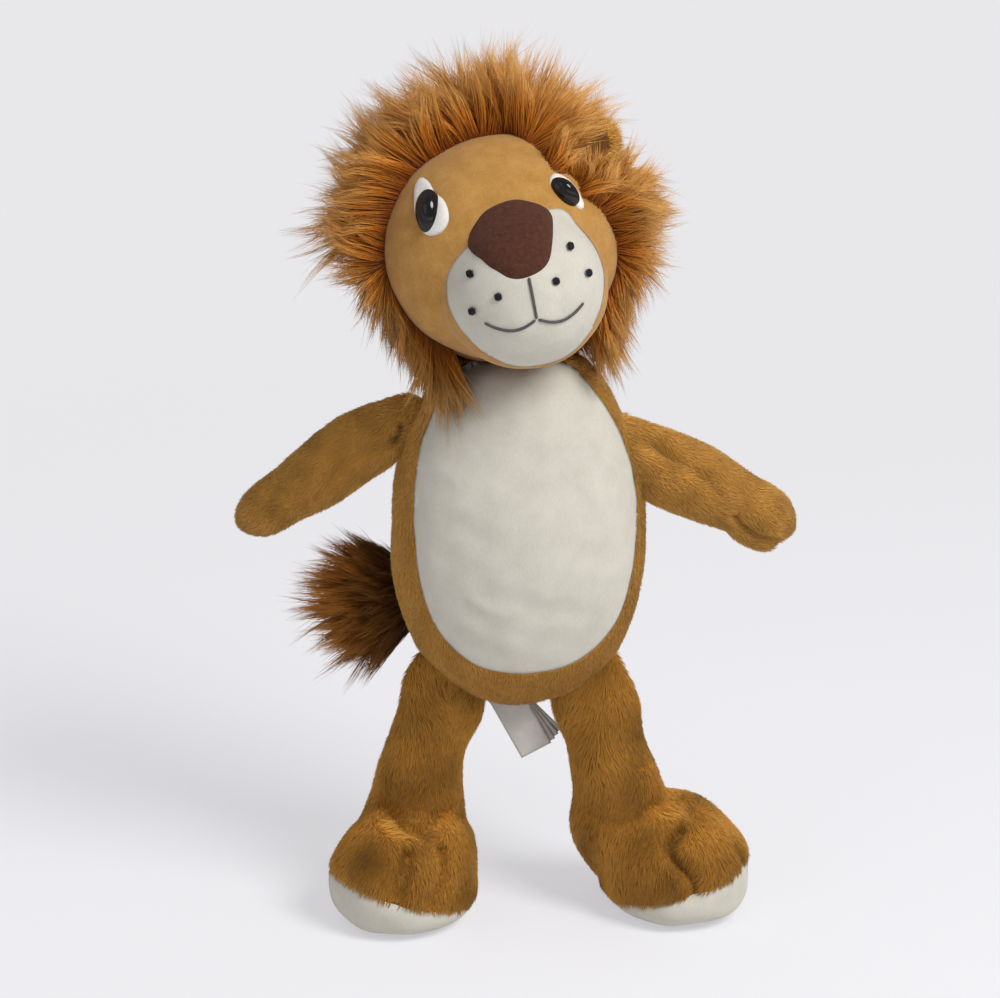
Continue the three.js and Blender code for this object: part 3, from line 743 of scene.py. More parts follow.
def fibre_template(rings: int) -> tuple[np.ndarray, list[list[int]]]:
    """One straight three-sided fibre of unit length and width.

    Args:
        rings: how many lengths it has between root and tip.

    Returns:
        Its corners, and the corners of each face.
    """
    bm = bmesh.new()
    bmesh.ops.create_cone(bm, cap_ends=False, segments=3, radius1=0.5, radius2=0, depth=1)
    bmesh.ops.translate(bm, verts=bm.verts, vec=(0, 0, 0.5))
    bmesh.ops.remove_doubles(bm, verts=bm.verts, dist=1e-5)
    for i in range(1, rings):
        everything = [*bm.verts, *bm.edges, *bm.faces]
        bmesh.ops.bisect_plane(bm, geom=everything, plane_co=(0, 0, i / rings), plane_no=(0, 0, 1))
    bm.verts.index_update()
    points = np.array([v.co for v in bm.verts])
    faces = [[v.index for v in f.verts] for f in bm.faces]
    bm.free()
    body = np.maximum(1 - points[:, 2], 0.02) ** -0.45
    points[:, :2] *= body[:, None]
    return points, faces


def pile_object(name: str, curve: Rule, count: int, width: np.ndarray, tone: np.ndarray,
                rings: int, seed: int) -> bpy.types.Object:
    """Lays a fibre along each of many curves and joins them in one mesh.

    Args:
        name: the piece's name.
        curve: gives the places of all fibres at a share of their length.
        count: how many fibres there are.
        width: each fibre's width at its root.
        tone: each fibre's tone, from 0, dark, to 1, pale.
        rings: lengths in a fibre.
        seed: turns each fibre round its own way.

    Returns:
        The piece.
    """
    points, faces = fibre_template(rings)
    rng = np.random.default_rng(seed)
    levels = np.unique(points[:, 2].round(6))
    spine = {level: curve(level) for level in levels}
    way = unit(spine[levels[-1]] - spine[levels[0]])
    across = unit(np.cross(way, rng.normal(size=(count, 3))))
    other = np.cross(way, across)
    places = np.empty((count, len(points), 3))
    for i, (x, y, z) in enumerate(points):
        middle = spine[round(z, 6)]
        places[:, i] = middle + (across * x + other * y) * width[:, None]
    order = np.concatenate(faces)
    starts = np.arange(count)[:, None] * len(points)
    sizes = np.array([len(face) for face in faces])
    mesh = bpy.data.meshes.new(name)
    mesh.vertices.add(count * len(points))
    mesh.vertices.foreach_set("co", (places * MM).ravel())
    mesh.loops.add(count * len(order))
    mesh.loops.foreach_set("vertex_index", (starts + order).ravel())
    mesh.polygons.add(count * len(sizes))
    firsts = np.tile(sizes, count).cumsum() - np.tile(sizes, count)
    mesh.polygons.foreach_set("loop_start", firsts)
    mesh.update(calc_edges=True)
    chart = mesh.uv_layers.new(name="OFBake")
    along = np.tile(np.clip(points[order, 2], 0.01, 0.99), count)
    beside = np.tile(points[order, 0] * 0.012, count)
    up = np.clip(np.repeat(tone, len(order)), 0.02, 0.98) + beside
    chart.data.foreach_set("uv", np.column_stack([along, up]).ravel())
    mesh.shade_smooth()
    thing = bpy.data.objects.new(name, mesh)
    bpy.context.collection.objects.link(thing)
    return thing


@dataclass(frozen=True)
class ShortPile:
    """A short pile that is brushed one way, with darker and paler strokes.

    The real fibres are about 0.05 mm thick and far denser, so they are drawn coarser.

    Attributes:
        length: of a fibre.
        width: of a fibre at its root.
        density: fibres to a square millimetre.
        lean: how far it leans the way it is brushed, as a share of how far it stands up.
        stray: how much single fibres depart from that.
        swirl: how much the brushing wanders from patch to patch.
        patch: how large such a patch is.
        mottle: how much the tone differs from patch to patch.
        crease: how far from a crease the pile is short and painted darker, as shade.
        fleck: how much the tone differs from fibre to fibre.
        rings: lengths in a fibre.
    """

    length: float
    width: float
    density: float
    lean: float
    stray: float
    swirl: float
    patch: float
    mottle: float = 0.2
    crease: float = 3.0
    fleck: float = 0.05
    rings: int = 1

    def grow(self, name: str, roots: Roots, brushed: np.ndarray, seed: int,
             seam: np.ndarray | None = None) -> bpy.types.Object:
        """Grows the pile.

        Args:
            name: the piece's name.
            roots: where its fibres grow.
            brushed: which way each fibre is brushed.
            seed: which random draw.
            seam: how far each root is from the nearest crease, which shortens it and paints it darker,
                as shade.

        Returns:
            The piece.
        """
        rng = np.random.default_rng(seed)
        places, ways = roots.places, roots.ways
        count = len(places)
        sway = np.column_stack([drift(places, self.patch, seed + k) for k in range(3)])
        lay = brushed + self.swirl * sway
        lay = unit(lay - ways * (lay * ways).sum(1, keepdims=True))
        stray = rng.normal(size=(count, 3)) * self.stray
        aim = unit(ways + self.lean * lay + stray)
        long = self.length * rng.uniform(0.7, 1.1, count)[:, None]
        start = places - ways * 0.15
        tone = 0.5 + self.mottle * drift(places, self.patch, seed + 7)
        tone += rng.normal(0, self.fleck, count)
        # Painted shade: near a crease the fibres are shortened and their tone darkened.
        if seam is not None:
            near = np.exp(-((seam / self.crease) ** 2))
            long *= 1 - 0.8 * near[:, None]
            tone -= 0.45 * near

        def curve(share: float) -> np.ndarray:
            """The fibres' places at a share of their length."""
            return start + long * (aim * share + 0.35 * self.lean * lay * share**2)

        width = self.width * rng.uniform(0.75, 1.2, count)
        return pile_object(name, curve, count, width, tone, self.rings, seed + 9)


@dataclass(frozen=True)
class LongPile:
    """Long fur that gathers in thin wisps, and the wisps in pointed locks.

    Attributes:
        width: of a fibre at its root.
        lock: fibres to a lock.
        wisp: fibres to a wisp.
        gather: how closely they are drawn together at their tips.
        curl: how far a lock bends aside, as a share of its length.
        wave: how far a fibre waves.
        rings: lengths in a fibre.
    """

    width: float
    lock: float
    wisp: float
    gather: float
    curl: float
    wave: float
    rings: int = 4

    def grow(self, name: str, roots: Roots, aim: np.ndarray, long: np.ndarray, sag: np.ndarray,
             shade: np.ndarray, seed: int) -> bpy.types.Object:
        """Grows the fur.

        Args:
            name: the piece's name.
            roots: where its fibres grow.
            aim: the way each fibre sets out.
            long: each fibre's length.
            sag: where each fibre's tip bends to, as a vector in millimetres.
            shade: how much paler each fibre is painted than the others, as painted light and shade.
            seed: which random draw.

        Returns:
            The piece.
        """
        rng = np.random.default_rng(seed)
        places, count = roots.places, len(roots.places)
        heads = rng.choice(count, max(int(count / self.lock), 2), replace=False)
        lock = heads[nearest(places, places[heads])]
        guides = rng.choice(count, max(int(count / self.wisp), 2), replace=False)
        wisp = guides[nearest(places, places[guides])]
        reach = rng.uniform(0.78, 1.15, count)
        full = (long * reach)[lock]
        edge = np.linalg.norm(places - places[lock], axis=1)
        edge = np.clip(edge / (np.percentile(edge, 95) + 1e-6), 0, 1)
        own = full * (1 - 0.3 * edge) * rng.uniform(0.7, 1.04, count)
        loose = np.where(rng.random(count) < 0.05, 0.25, rng.uniform(0.8, 1, count))[:, None]
        loose = loose * self.gather
        side = rng.normal(size=(count, 3))
        bend = unit(np.cross(aim, side)) * self.curl * rng.uniform(0.2, 1.1, (count, 1))
        swing, phase = unit(np.cross(aim, side[::-1])) * self.wave, rng.uniform(0, 6.3, count)
        stray = rng.normal(size=(count, 3)) * 0.07
        tone = 0.5 + shade + rng.normal(0, 0.1, count)[lock] + rng.normal(0, 0.08, count)[wisp]
        tone += rng.normal(0, 0.06, count)

        def line(of: np.ndarray, share: np.ndarray) -> np.ndarray:
            """The places of some guiding fibres at shares of their length."""
            s = share[:, None]
            turn = np.sin(5 * s + phase[of, None]) - np.sin(phase[of, None])
            out = places[of] + full[:, None] * s * aim[of] + sag[of] * s**2
            return out + full[:, None] * bend[lock] * s**2 + swing[of] * turn * s

        def curve(share: float) -> np.ndarray:
            """The fibres' places at a share of their length."""
            s = share * own / full
            free = line(np.arange(count), s) + full[:, None] * s[:, None] * stray
            thin, thick = line(wisp, s), line(lock, s)
            first = loose * np.clip(1.8 * s, 0, 1)[:, None]
            second = loose * 0.85 * np.clip(s, 0, 1)[:, None] ** 1.3
            drawn = free + (thin - free) * first
            return drawn + (thick - thin) * second

        width = self.width * rng.uniform(0.65, 1.25, count)
        return pile_object(name, curve, count, width, tone, self.rings, seed + 9)


def nearest(points: np.ndarray, heads: np.ndarray) -> np.ndarray:
    """The nearest head to each point, by number."""
    out = np.empty(len(points), int)
    for first in range(0, len(points), 1500):
        part = points[first : first + 1500, None] - heads[None]
        out[first : first + 1500] = (part**2).sum(2).argmin(1)
    return out


def shown(piece: bpy.types.Object, finish: Finish, body: str) -> bpy.types.Object:
    """Dresses a piece and lets it ride on a body."""
    dress(piece, finish)
    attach(piece, body)
    return piece


def bent(piece: bpy.types.Object, finish: Finish) -> bpy.types.Object:
    """Dresses a piece that crosses a joint and bakes its place into its mesh.

    Args:
        piece: crosses a joint.
        finish: its material.

    Returns:
        The piece.
    """
    dress(piece, finish)
    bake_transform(piece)
    return piece


# Panels and trim

# From how far in front of a local frame a panel and a line that miss the skin look for it.
PANEL_NEAR, LINE_NEAR = 30.0, 10.0


@dataclass(frozen=True)
class Outline:
    """A closed outline in a front plane, seen from its middle."""

    points: tuple[tuple[float, float], ...]

    def reach(self, angles: np.ndarray) -> np.ndarray:
        """How far out the outline is at each angle from its middle."""
        ring = np.array(self.points)
        closed = np.vstack([ring[-2:], ring, ring[:3]])
        shares = np.linspace(2 / (len(closed) - 1), (len(closed) - 3) / (len(closed) - 1), 241)
        line = spline(np.column_stack([closed, np.zeros(len(closed))]), shares)[:, :2]
        turn = np.arctan2(line[:, 1], line[:, 0])
        order = np.argsort(turn)
        return np.interp(angles, turn[order], np.hypot(*line.T)[order], period=2 * math.pi)


def mirrored(width: float, height: float, shares: Sequence[tuple[float, float]]) -> Outline:
    """An outline given up one side.

    Args:
        width: what a share across stands for.
        height: what a share up stands for.
        shares: the points of one side.

    Returns:
        The outline, with its middle at the origin.
    """
    side = [(x * width, z * height) for x, z in shares]
    return Outline(tuple(side + [(-x, z) for x, z in reversed(side)]))


def met(skin: BVHTree, place: Matrix, spots: np.ndarray,
        near: float) -> tuple[np.ndarray, np.ndarray]:
    """Where a skin is met from the front of a local frame.

    Args:
        skin: the skin's surface.
        place: the frame; its front is -Y.
        spots: x and z of each point.
        near: how far in front of the frame a point that misses the skin looks for it.

    Returns:
        The points in the part's frame, and the skin's way out at each.
    """
    ahead = Vector(turned(np.array([0.0, 1.0, 0.0]), place))
    starts = moved(np.column_stack([spots[:, 0], np.full(len(spots), -FAR), spots[:, 1]]), place)
    rows = []
    for start in starts:
        spot, way, _, _ = skin.ray_cast(Vector(start), ahead)
        if spot is None:
            spot, way, _, _ = skin.find_nearest(Vector(start) + ahead * (FAR - near))
        rows.append((*spot, *way))
    rows = np.array(rows)
    return rows[:, :3], rows[:, 3:]


@dataclass
class Panel:
    """A panel let into a skin, seen along a local frame's Y axis.

    Attributes:
        place: the frame; its origin is the middle of the outline.
        outline: the panel's edge.
        puff: how far its middle stands proud.
        tuck: how far its edge dives into the seam.
        crown: how quickly it rises from the edge.
        around: faces round it.
        rings: faces from its middle to its edge.
    """

    place: Matrix
    outline: Outline
    puff: float
    tuck: float
    crown: float = 6.0
    around: int = 96
    rings: int = 24

    def ring(self, turns: np.ndarray) -> np.ndarray:
        """The edge's x and z at each angle from the middle."""
        reach = self.outline.reach(turns)[:, None]
        return reach * np.column_stack([np.cos(turns), np.sin(turns)])

    def make(self, name: str, skin: BVHTree) -> bpy.types.Object:
        """Lays the panel on a skin, as a closed lens.

        Args:
            name: the piece's name.
            skin: the skin's surface, in millimetres.

        Returns:
            The piece.
        """

        def rule(ball: np.ndarray) -> np.ndarray:
            """Lays each corner of the ball on the skin."""
            share = np.clip(np.arccos(np.clip(np.abs(ball[:, 2]), 0, 1)) / (math.pi / 2), 0, 1)
            flat = self.ring(np.arctan2(ball[:, 1], ball[:, 0])) * share[:, None]
            spots, ways = met(skin, self.place, flat, PANEL_NEAR)
            fall = share**self.crown
            above = self.puff - (self.puff + self.tuck) * fall
            lift = np.where(ball[:, 2] < 0, fall - 1 - self.tuck, above)
            return spots + ways * lift[:, None]

        return ball_object(name, self.around, 2 * self.rings, rule, Matrix.Identity(4))

    def inside(self, places: np.ndarray, margin: float = 0.0) -> np.ndarray:
        """Whether each place is within the outline, as seen from the front."""
        local = moved(places, self.place.inverted())
        turn = np.arctan2(local[:, 2], local[:, 0])
        near = np.hypot(local[:, 0], local[:, 2]) < self.outline.reach(turn) + margin
        return near & (local[:, 1] < 0)


def surface(thing: bpy.types.Object) -> BVHTree:
    """An object's surface in millimetres, to lay trim on."""
    bm = bmesh.new()
    bm.from_mesh(thing.data)
    bm.transform(Matrix.Scale(1 / MM, 4))
    tree = BVHTree.FromBMesh(bm)
    bm.free()
    return tree


def pressed(thing: bpy.types.Object, line: np.ndarray, depth: float, reach: float) -> None:
    """Draws a skin in along a line, as a seam or a pulled stitch does.

    Args:
        thing: the skin.
        line: the line's points.
        depth: how deep the groove is.
        reach: how wide it spreads to each side.
    """
    points = coords(thing)
    fall = depth * np.exp(-((from_line(points, line) / reach) ** 2))
    set_coords(thing, points - normals(thing) * fall[:, None])


def sunk(thing: bpy.types.Object, panel: Panel, edge: np.ndarray, depth: float) -> None:
    """Draws a skin in under a panel, so that it never shows through.

    Args:
        thing: the skin.
        panel: lies on it.
        edge: the panel's seam, as points on the skin.
        depth: how far the skin gives way.
    """
    points = coords(thing)
    front = normals(thing) @ turned(np.array([0.0, 1.0, 0.0]), panel.place) < 0.3
    under = panel.inside(points) & front
    ease = np.clip(from_line(points, edge) / 3, 0, 1) ** 0.7
    set_coords(thing, points - normals(thing) * (depth * under * ease)[:, None])


def on_skin(skin: BVHTree, place: Matrix, spots: Sequence[tuple[float, float]]) -> np.ndarray:
    """Points of a skin, as seen from the front of a local frame.

    Args:
        skin: the skin's surface.
        place: the frame; its front is -Y.
        spots: x and z of each point.

    Returns:
        The points in the part's frame.
    """
    return met(skin, place, np.array(spots, float), LINE_NEAR)[0]


def strand(name: str, line: np.ndarray, width: float, sides: int = 8) -> bpy.types.Object:
    """A round thread along a line, with closed ends.

    Args:
        name: the piece's name.
        line: its points.
        width: its thickness.
        sides: faces round it.

    Returns:
        The piece.
    """
    smooth = spline(line, np.linspace(0, 1, max(6 * len(line), 12)))
    bm = bmesh.new()
    add_thread(bm, smooth, width, sides)
    return object_from(name, bm)


def add_thread(bm: bmesh.types.BMesh, line: np.ndarray, width: float, sides: int) -> None:
    """Adds a thread to a bmesh: a capped cone that follows a line."""
    made = bmesh.ops.create_uvsphere(bm, u_segments=sides, v_segments=len(line) + 1, radius=1)
    verts = made["verts"]
    ball = np.array([v.co for v in verts])
    share = np.clip((1 - np.arccos(np.clip(ball[:, 2], -1, 1)) / math.pi), 0, 1)
    at = spline(line, share)
    after, before = (spline(line, np.clip(share + step, 0, 1)) for step in (0.02, -0.02))
    ahead = unit(after - before)
    across = unit(np.cross(ahead, np.array([0.31, 0.2, 0.93])))
    other = np.cross(ahead, across)
    flat = np.maximum(np.hypot(ball[:, 0], ball[:, 1]), 1e-6)
    full = width / 2 * np.minimum(1, np.sin(math.pi * share) * len(line) / 3)
    ring = ball[:, :2] / flat[:, None] * full[:, None]
    out = at + across * ring[:, :1] + other * ring[:, 1:2]
    for vert, point in zip(verts, out):
        vert.co = point


# The lion


@dataclass
class Torso:
    """The stuffed body with its pale belly panel."""

    hip: float = 84.0
    height: float = 140.0
    width: float = 97.5
    depth: float = 69.0
    belly_shift: float = 3.0
    belly_bottom: float = 20.0
    belly_width: float = 85.0
    belly_height: float = 124.0
    # Each station is a share of the height, the width and the depth.
    shares: tuple = (
        (0, 0, 0), (0.043, 0.43, 0.43), (0.1, 0.63, 0.62), (0.171, 0.82, 0.79),
        (0.3, 0.943, 0.93), (0.45, 1, 1), (0.6, 0.99, 0.985), (0.743, 0.91, 0.9),
        (0.871, 0.76, 0.78), (0.943, 0.64, 0.68), (0.985, 0.52, 0.55), (1.01, 0.3, 0.32),
        (1.02, 0, 0),
    )
    # Each side of the panel from the bottom up, as shares of its half width and its height.
    left_belly: tuple = (
        (0.28, 0.012), (0.56, 0.055), (0.8, 0.14), (0.94, 0.27), (1, 0.44), (0.98, 0.58),
        (0.89, 0.7), (0.76, 0.8), (0.61, 0.88), (0.46, 0.94), (0.28, 0.97), (0.1, 0.975),
    )
    right_belly: tuple = (
        (0.1, 0.975), (0.36, 0.97), (0.6, 0.94), (0.74, 0.88), (0.85, 0.8), (0.95, 0.7),
        (1, 0.57), (1, 0.44), (0.94, 0.27), (0.8, 0.14), (0.56, 0.055), (0.28, 0.012),
    )
    # Each groove is how deep it is and how far it spreads to each side.
    seam_groove: tuple = (0.25, 2.4)
    wrinkle_groove: tuple = (0.45, 2.2)
    dart_groove: tuple = (1.2, 1.6)
    # How far the skin gives way under the panel, and how much of its pile the panel's edge keeps.
    give: float = 1.8
    overlap: float = 0.7
    # Faint wrinkles of the belly cloth, as x and z from the middle of the panel.
    wrinkles: tuple = (
        ((-39, 38), (-34, 33), (-28, 31)), ((-38, 30), (-33, 26), (-29, 25)),
        ((-38, 21), (-32, 20), (-27, 17)), ((-26, 42), (-20, 39), (-12, 40)),
        ((22, 14), (27, 8), (30, 0)), ((-20, -30), (-12, -34), (-3, -33)),
    )
    # A short seam at the bottom of the front, as x and z above the hips.
    darts: tuple = (((3, 9), (3, 4), (3, 1)),)
    # The belly cloth's lumps, as how high and how far apart.
    belly_lumps: tuple = (0.22, 16)
    stuffing: Stuffing = Stuffing(voxel=2.2, passes=2, blow=2.5, lump=0.5, wave=34)
    pile: ShortPile = ShortPile(
        length=1.8, width=0.4, density=2.85, lean=1.6, stray=0.22, swirl=0.5, patch=16,
        mottle=0.1, crease=1.2,
    )
    seed: int = 9

    def build(self) -> None:
        """Makes the skin, the belly and the skin's pile."""
        place = frame_at(0, 0, self.hip)
        rule = stuffed_rule([
            (0, 0, up * self.height, across * self.width / 2, deep * self.depth / 2)
            for up, across, deep in self.shares
        ])
        skin = ball_object("torso_skin", 96, 72, rule, place)
        self.stuffing.fill(skin, self.seed + 1)
        belly = self.belly(place)
        lens = belly.make("belly_panel_skin", surface(skin))
        lumpy(lens, *self.belly_lumps, self.seed)
        for line in self.wrinkles:
            pressed(lens, on_skin(surface(lens), belly.place, line), *self.wrinkle_groove)
        edge = seam_of(belly, surface(skin))
        pressed(skin, edge, *self.seam_groove)
        sunk(skin, belly, edge, self.give)
        for line in self.darts:
            pressed(skin, on_skin(surface(skin), place, line), *self.dart_groove)
        shown(skin, Finish.BODY_CLOTH, "torso")
        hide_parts("torso_cover", "torso_stuffing")
        shown(lens, Finish.CREAM_CLOTH, "torso")
        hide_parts("belly_panel")
        roots = sown(skin, self.pile.density, self.seed + 2)
        roots = roots.kept(~belly.inside(roots.places, -self.overlap))
        down = np.tile([0.0, 0.0, -1.0], (len(roots.places), 1))
        # Near the belly seam the pile is shortened and painted darker, as shade in the seam.
        seam = from_line(roots.places, edge) + 2
        fur = self.pile.grow("torso_pile", roots, down, self.seed + 3, seam)
        shown(fur, Finish.BODY_PILE, "torso")

    def belly(self, place: Matrix) -> Panel:
        """The belly panel in the torso's frame."""
        half, middle = self.belly_width / 2, self.belly_height / 2
        ring = [(x * half, z * self.belly_height - middle) for x, z in self.left_belly]
        ring += [(-x * half, z * self.belly_height - middle) for x, z in self.right_belly]
        lift = Matrix.Translation((self.belly_shift, 0, self.belly_bottom + middle))
        return Panel(place @ lift, Outline(tuple(ring)), puff=0.8, tuck=0.45, crown=7,
                     around=144, rings=40)


def seam_of(panel: Panel, skin: BVHTree) -> np.ndarray:
    """The seam round a panel, as a closed line of points on the skin."""
    turns = np.linspace(-math.pi, math.pi, 121)
    return met(skin, panel.place, panel.ring(turns), PANEL_NEAR)[0]


@dataclass
class Head:
    """The stuffed head: face, muzzle, nose, eyes, ears and mane."""

    neck: float = 224.0
    width: float = 90.0
    depth: float = 82.0
    height: float = 86.0
    forward: float = 14.0
    rise: float = 42.0
    turn: float = 7.0
    lean: float = 10.0
    lift: float = 12.0
    hairline: float = 11.0
    muzzle: tuple = (62.0, 60.0, 60.0)
    muzzle_forward: float = 26.0
    muzzle_drop: float = 15.0
    muzzle_shift: float = 4.0
    panel_width: float = 59.0
    panel_height: float = 56.0
    panel_drop: float = 16.0
    left_panel: tuple = (
        (0.27, -0.97), (0.57, -0.79), (0.81, -0.5), (0.95, -0.18), (1, 0.1), (0.93, 0.46),
        (0.8, 0.7), (0.62, 0.97),
    )
    right_panel: tuple = (
        (0.5, 0.8), (0.78, 0.62), (0.95, 0.38), (1, 0.06), (0.95, -0.2), (0.8, -0.52),
        (0.55, -0.8), (0.25, -0.97),
    )
    # Each groove is how deep it is and how far it spreads to each side.
    seam_groove: tuple = (0.12, 1.8)
    wrinkle_groove: tuple = (0.3, 1.3)
    # How far the face's skin gives way under the panel, and the panel's lumps.
    give: float = 1.2
    panel_lumps: tuple = (0.14, 9)
    # Two faint wrinkles over the chin, as x and z from the middle of the panel.
    chin_wrinkles: tuple = (((-5, -21), (3, -19.5), (10, -18)), ((5, -22), (11, -20), (15, -16)))
    nose_width: float = 33.0
    nose_height: float = 27.0
    nose_lift: float = 4.0
    nose_shift: float = 2.5
    nose_roll: float = 10.0
    nose_pad: float = 2.4
    nose_shares: tuple = (
        (0.2, -1.04), (0.46, -0.9), (0.7, -0.56), (0.88, -0.16), (1, 0.2), (0.9, 0.5),
        (0.66, 0.76), (0.32, 0.98),
    )
    lip_length: float = 15.0
    lip_drop: float = 9.8
    smile_width: float = 36.0
    smile_sag: float = 3.0
    smile_rise: float = 2.0
    thread: float = 1.1
    # How far the mouth's threads stand over the muzzle.
    thread_lift: float = 0.8
    dot_width: float = 2.6
    # The dots of each side, from the middle of the muzzle out and down.
    right_dots: tuple = ((19.2, 5.1), (11.6, 14.4), (21.1, 18.0))
    left_dots: tuple = ((17.0, 2.6), (9.2, 13.1), (21.6, 13.0))
    eye_spread: float = 25.0
    # The lion's left eye is sewn a little lower and sits shorter.
    eye_lifts: tuple = (19.2, 16.4)
    eye_sizes: tuple = ((10.0, 16.5), (8.0, 13.0))
    eye_tilts: tuple = (8.0, -34.0)
    eye_dome: float = 5.0
    eye_facing: float = 0.5
    white_width: float = 16.0
    white_height: float = 24.0
    right_white: tuple = (
        (0.86, -0.12), (0.78, 0.26), (0.46, 0.56), (0.34, 0.86), (0.05, 1.05), (-0.28, 0.86),
        (-0.48, 0.46), (-0.6, 0.02), (-0.56, -0.4), (-0.3, -0.7), (0.24, -0.72), (0.7, -0.48),
    )
    left_white: tuple = (
        (0.74, -0.3), (0.52, 0.12), (0.14, 0.46), (-0.3, 0.62), (-0.6, 0.46), (-0.48, 0.1),
        (-0.18, -0.18), (0.24, -0.42), (0.54, -0.64), (0.76, -0.6),
    )
    ear_width: float = 18.0
    ear_height: float = 22.0
    ear_thick: float = 5.0
    ear_angle: float = 37.0
    ear_reach: float = 49.5
    # The lion's left ear is pulled forward of the fur; the other is buried in it.
    ear_forward: tuple = (2.0, 14.0)
    # The fur stands tallest a little to the lion's left of the crown.
    peak_rise: float = 8.5
    peak_shift: float = 3.0
    peak_reach: float = 15.0
    # It stands longer over the lion's right temple too: how much, where, and how far round.
    temple_rise: float = 6.0
    temple: tuple = (-31.0, 29.0)
    temple_reach: float = 17.0
    # Over the lion's left eye the hairline comes forward, at degrees up from the ear's side.
    brow: tuple = ((-24, 0), (-8, 4), (4, 9), (16, 14), (28, 18), (50, 15), (62, 8), (76, 0))
    brow_gap: tuple = (5.8, 6.4)
    brow_density: float = 4.5
    # In front of that ear the fur is short, within so many degrees of it, by this share.
    ear_gap: float = 12.0
    ear_trim: float = 0.76
    # Under the chin there is no fur: how far down that starts, how far back and to each side.
    bald_drop: float = 18.0
    bald_back: float = 14.0
    bald_width: float = 26.0
    # The fur is so long beside the face, and so much longer on the crown and at the back.
    fur_length: float = 24.0
    crown_rise: float = 6.0
    nape_rise: float = 2.0
    stuffing: Stuffing = Stuffing(voxel=1.6, passes=6, blow=0, lump=0.3, wave=24)
    fur: LongPile = LongPile(width=0.34, lock=30, wisp=6, gather=0.88, curl=0.4, wave=2.6)
    fuzz: ShortPile = ShortPile(
        length=2.4, width=0.42, density=3.0, lean=1.2, stray=0.3, swirl=0.4, patch=10
    )
    seed: int = 19
    # The mane's first seed; its shared swells follow the one before.
    mane_seed: int = 31
    ear_seed: int = 41

    def __post_init__(self) -> None:
        """Places the head's frame and the face's."""
        turn = [math.radians(a) for a in (-self.lift, -self.lean, self.turn)]
        about = Matrix.Rotation(turn[2], 4, "Z") @ Matrix.Rotation(turn[1], 4, "Y")
        about = about @ Matrix.Rotation(turn[0], 4, "X")
        self.head = frame_at(0, 0, self.neck) @ about
        self.face = self.head @ Matrix.Translation((0, -self.forward, self.rise))

    def build(self) -> None:
        """Makes everything that rides on the head."""
        bm = bmesh.new()
        add_ball(bm, 64, 48, egg_rule(self.width, self.depth, self.height), self.face)
        shift = Matrix.Translation((self.muzzle_shift, -self.muzzle_forward, -self.muzzle_drop))
        add_ball(bm, 64, 48, egg_rule(*self.muzzle), self.face @ shift)
        whole = object_from("face_skin", bm)
        self.stuffing.fill(whole, self.seed + 1)
        self.skin = surface(whole)
        self.cover(whole)
        self.nose()
        self.mouth()
        self.dots()
        for side in Side:
            self.eye(side)
            self.ear(side)

    def ahead(self, x: float, z: float, lift: float) -> np.ndarray:
        """A point over the face's skin, in the part's frame.

        Args:
            x: across the face.
            z: up the face.
            lift: how far over the skin.

        Returns:
            The point.
        """
        spots, ways = met(self.skin, self.face, np.array([[x, z]]), PANEL_NEAR)
        return spots[0] + ways[0] * lift

    def cover(self, whole: bpy.types.Object) -> None:
        """Splits the head's skin in the face and the back, and covers both.

        Args:
            whole: the head's closed skin.
        """
        middle = Vector(moved(np.array([[0, -self.hairline, 0]]), self.face)[0])
        back = Vector(turned(np.array([[0.0, 1.0, 0.0]]), self.face)[0])
        panel = self.muzzle_panel()
        lens = panel.make("muzzle_panel_skin", self.skin)
        lumpy(lens, *self.panel_lumps, self.seed)
        for line in self.chin_wrinkles:
            pressed(lens, on_skin(surface(lens), panel.place, line), *self.wrinkle_groove)
        edge = seam_of(panel, self.skin)
        pressed(whole, edge, *self.seam_groove)
        sunk(whole, panel, edge, self.give)
        scalp = copy_of(whole, "mane_backing")
        cut_open(whole, middle, back)
        cut_open(scalp, middle, -back)
        shown(whole, Finish.FACE_CLOTH, "head")
        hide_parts("face_cover", "head_stuffing")
        shown(lens, Finish.CREAM_CLOTH, "head")
        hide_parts("muzzle_panel")
        shown(scalp, Finish.MANE_CLOTH, "head")
        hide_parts("mane")
        self.mane(scalp)
        self.brow_fur(whole)

    def muzzle_panel(self) -> Panel:
        """The pale panel on the muzzle."""
        half = (self.panel_width / 2, self.panel_height / 2)
        ring = [(x * half[0], z * half[1]) for x, z in self.left_panel]
        ring += [(-x * half[0], z * half[1]) for x, z in self.right_panel]
        lift = Matrix.Translation((self.muzzle_shift, 0, -self.panel_drop))
        return Panel(self.face @ lift, Outline(tuple(ring)), puff=0.5, tuck=0.35, crown=5,
                     around=120, rings=30)

    def mane(self, scalp: bpy.types.Object) -> None:
        """Grows the mane's long fur in five pieces.

        Args:
            scalp: the fur's backing.
        """
        # Each piece has its density, its place after the first seed and the roots it keeps.
        sowing = (
            ("mane_fringe_right", 5.2, 0, lambda p: (p[:, 1] < 2) & (p[:, 0] < 0)),
            ("mane_fringe_left", 5.2, 1, lambda p: (p[:, 1] < 2) & (p[:, 0] >= 0)),
            ("mane_crown_right", 2.7, 2, lambda p: (abs(p[:, 1] - 14) <= 12) & (p[:, 0] < 0)),
            ("mane_crown_left", 2.7, 5, lambda p: (abs(p[:, 1] - 14) <= 12) & (p[:, 0] >= 0)),
            ("mane_nape", 1.3, 3, lambda p: p[:, 1] > 26),
        )
        for name, density, after, wanted in sowing:
            seed = self.mane_seed + after
            roots = sown(scalp, density, seed)
            local = moved(roots.places, self.face.inverted())
            bald = (local[:, 2] < -self.bald_drop) & (local[:, 1] < self.bald_back)
            bald &= np.abs(local[:, 0] - 1) < self.bald_width
            roots = roots.kept(wanted(local) & (local[:, 1] > -self.hairline + 0.1) & ~bald)
            self.locks(name, roots, seed)

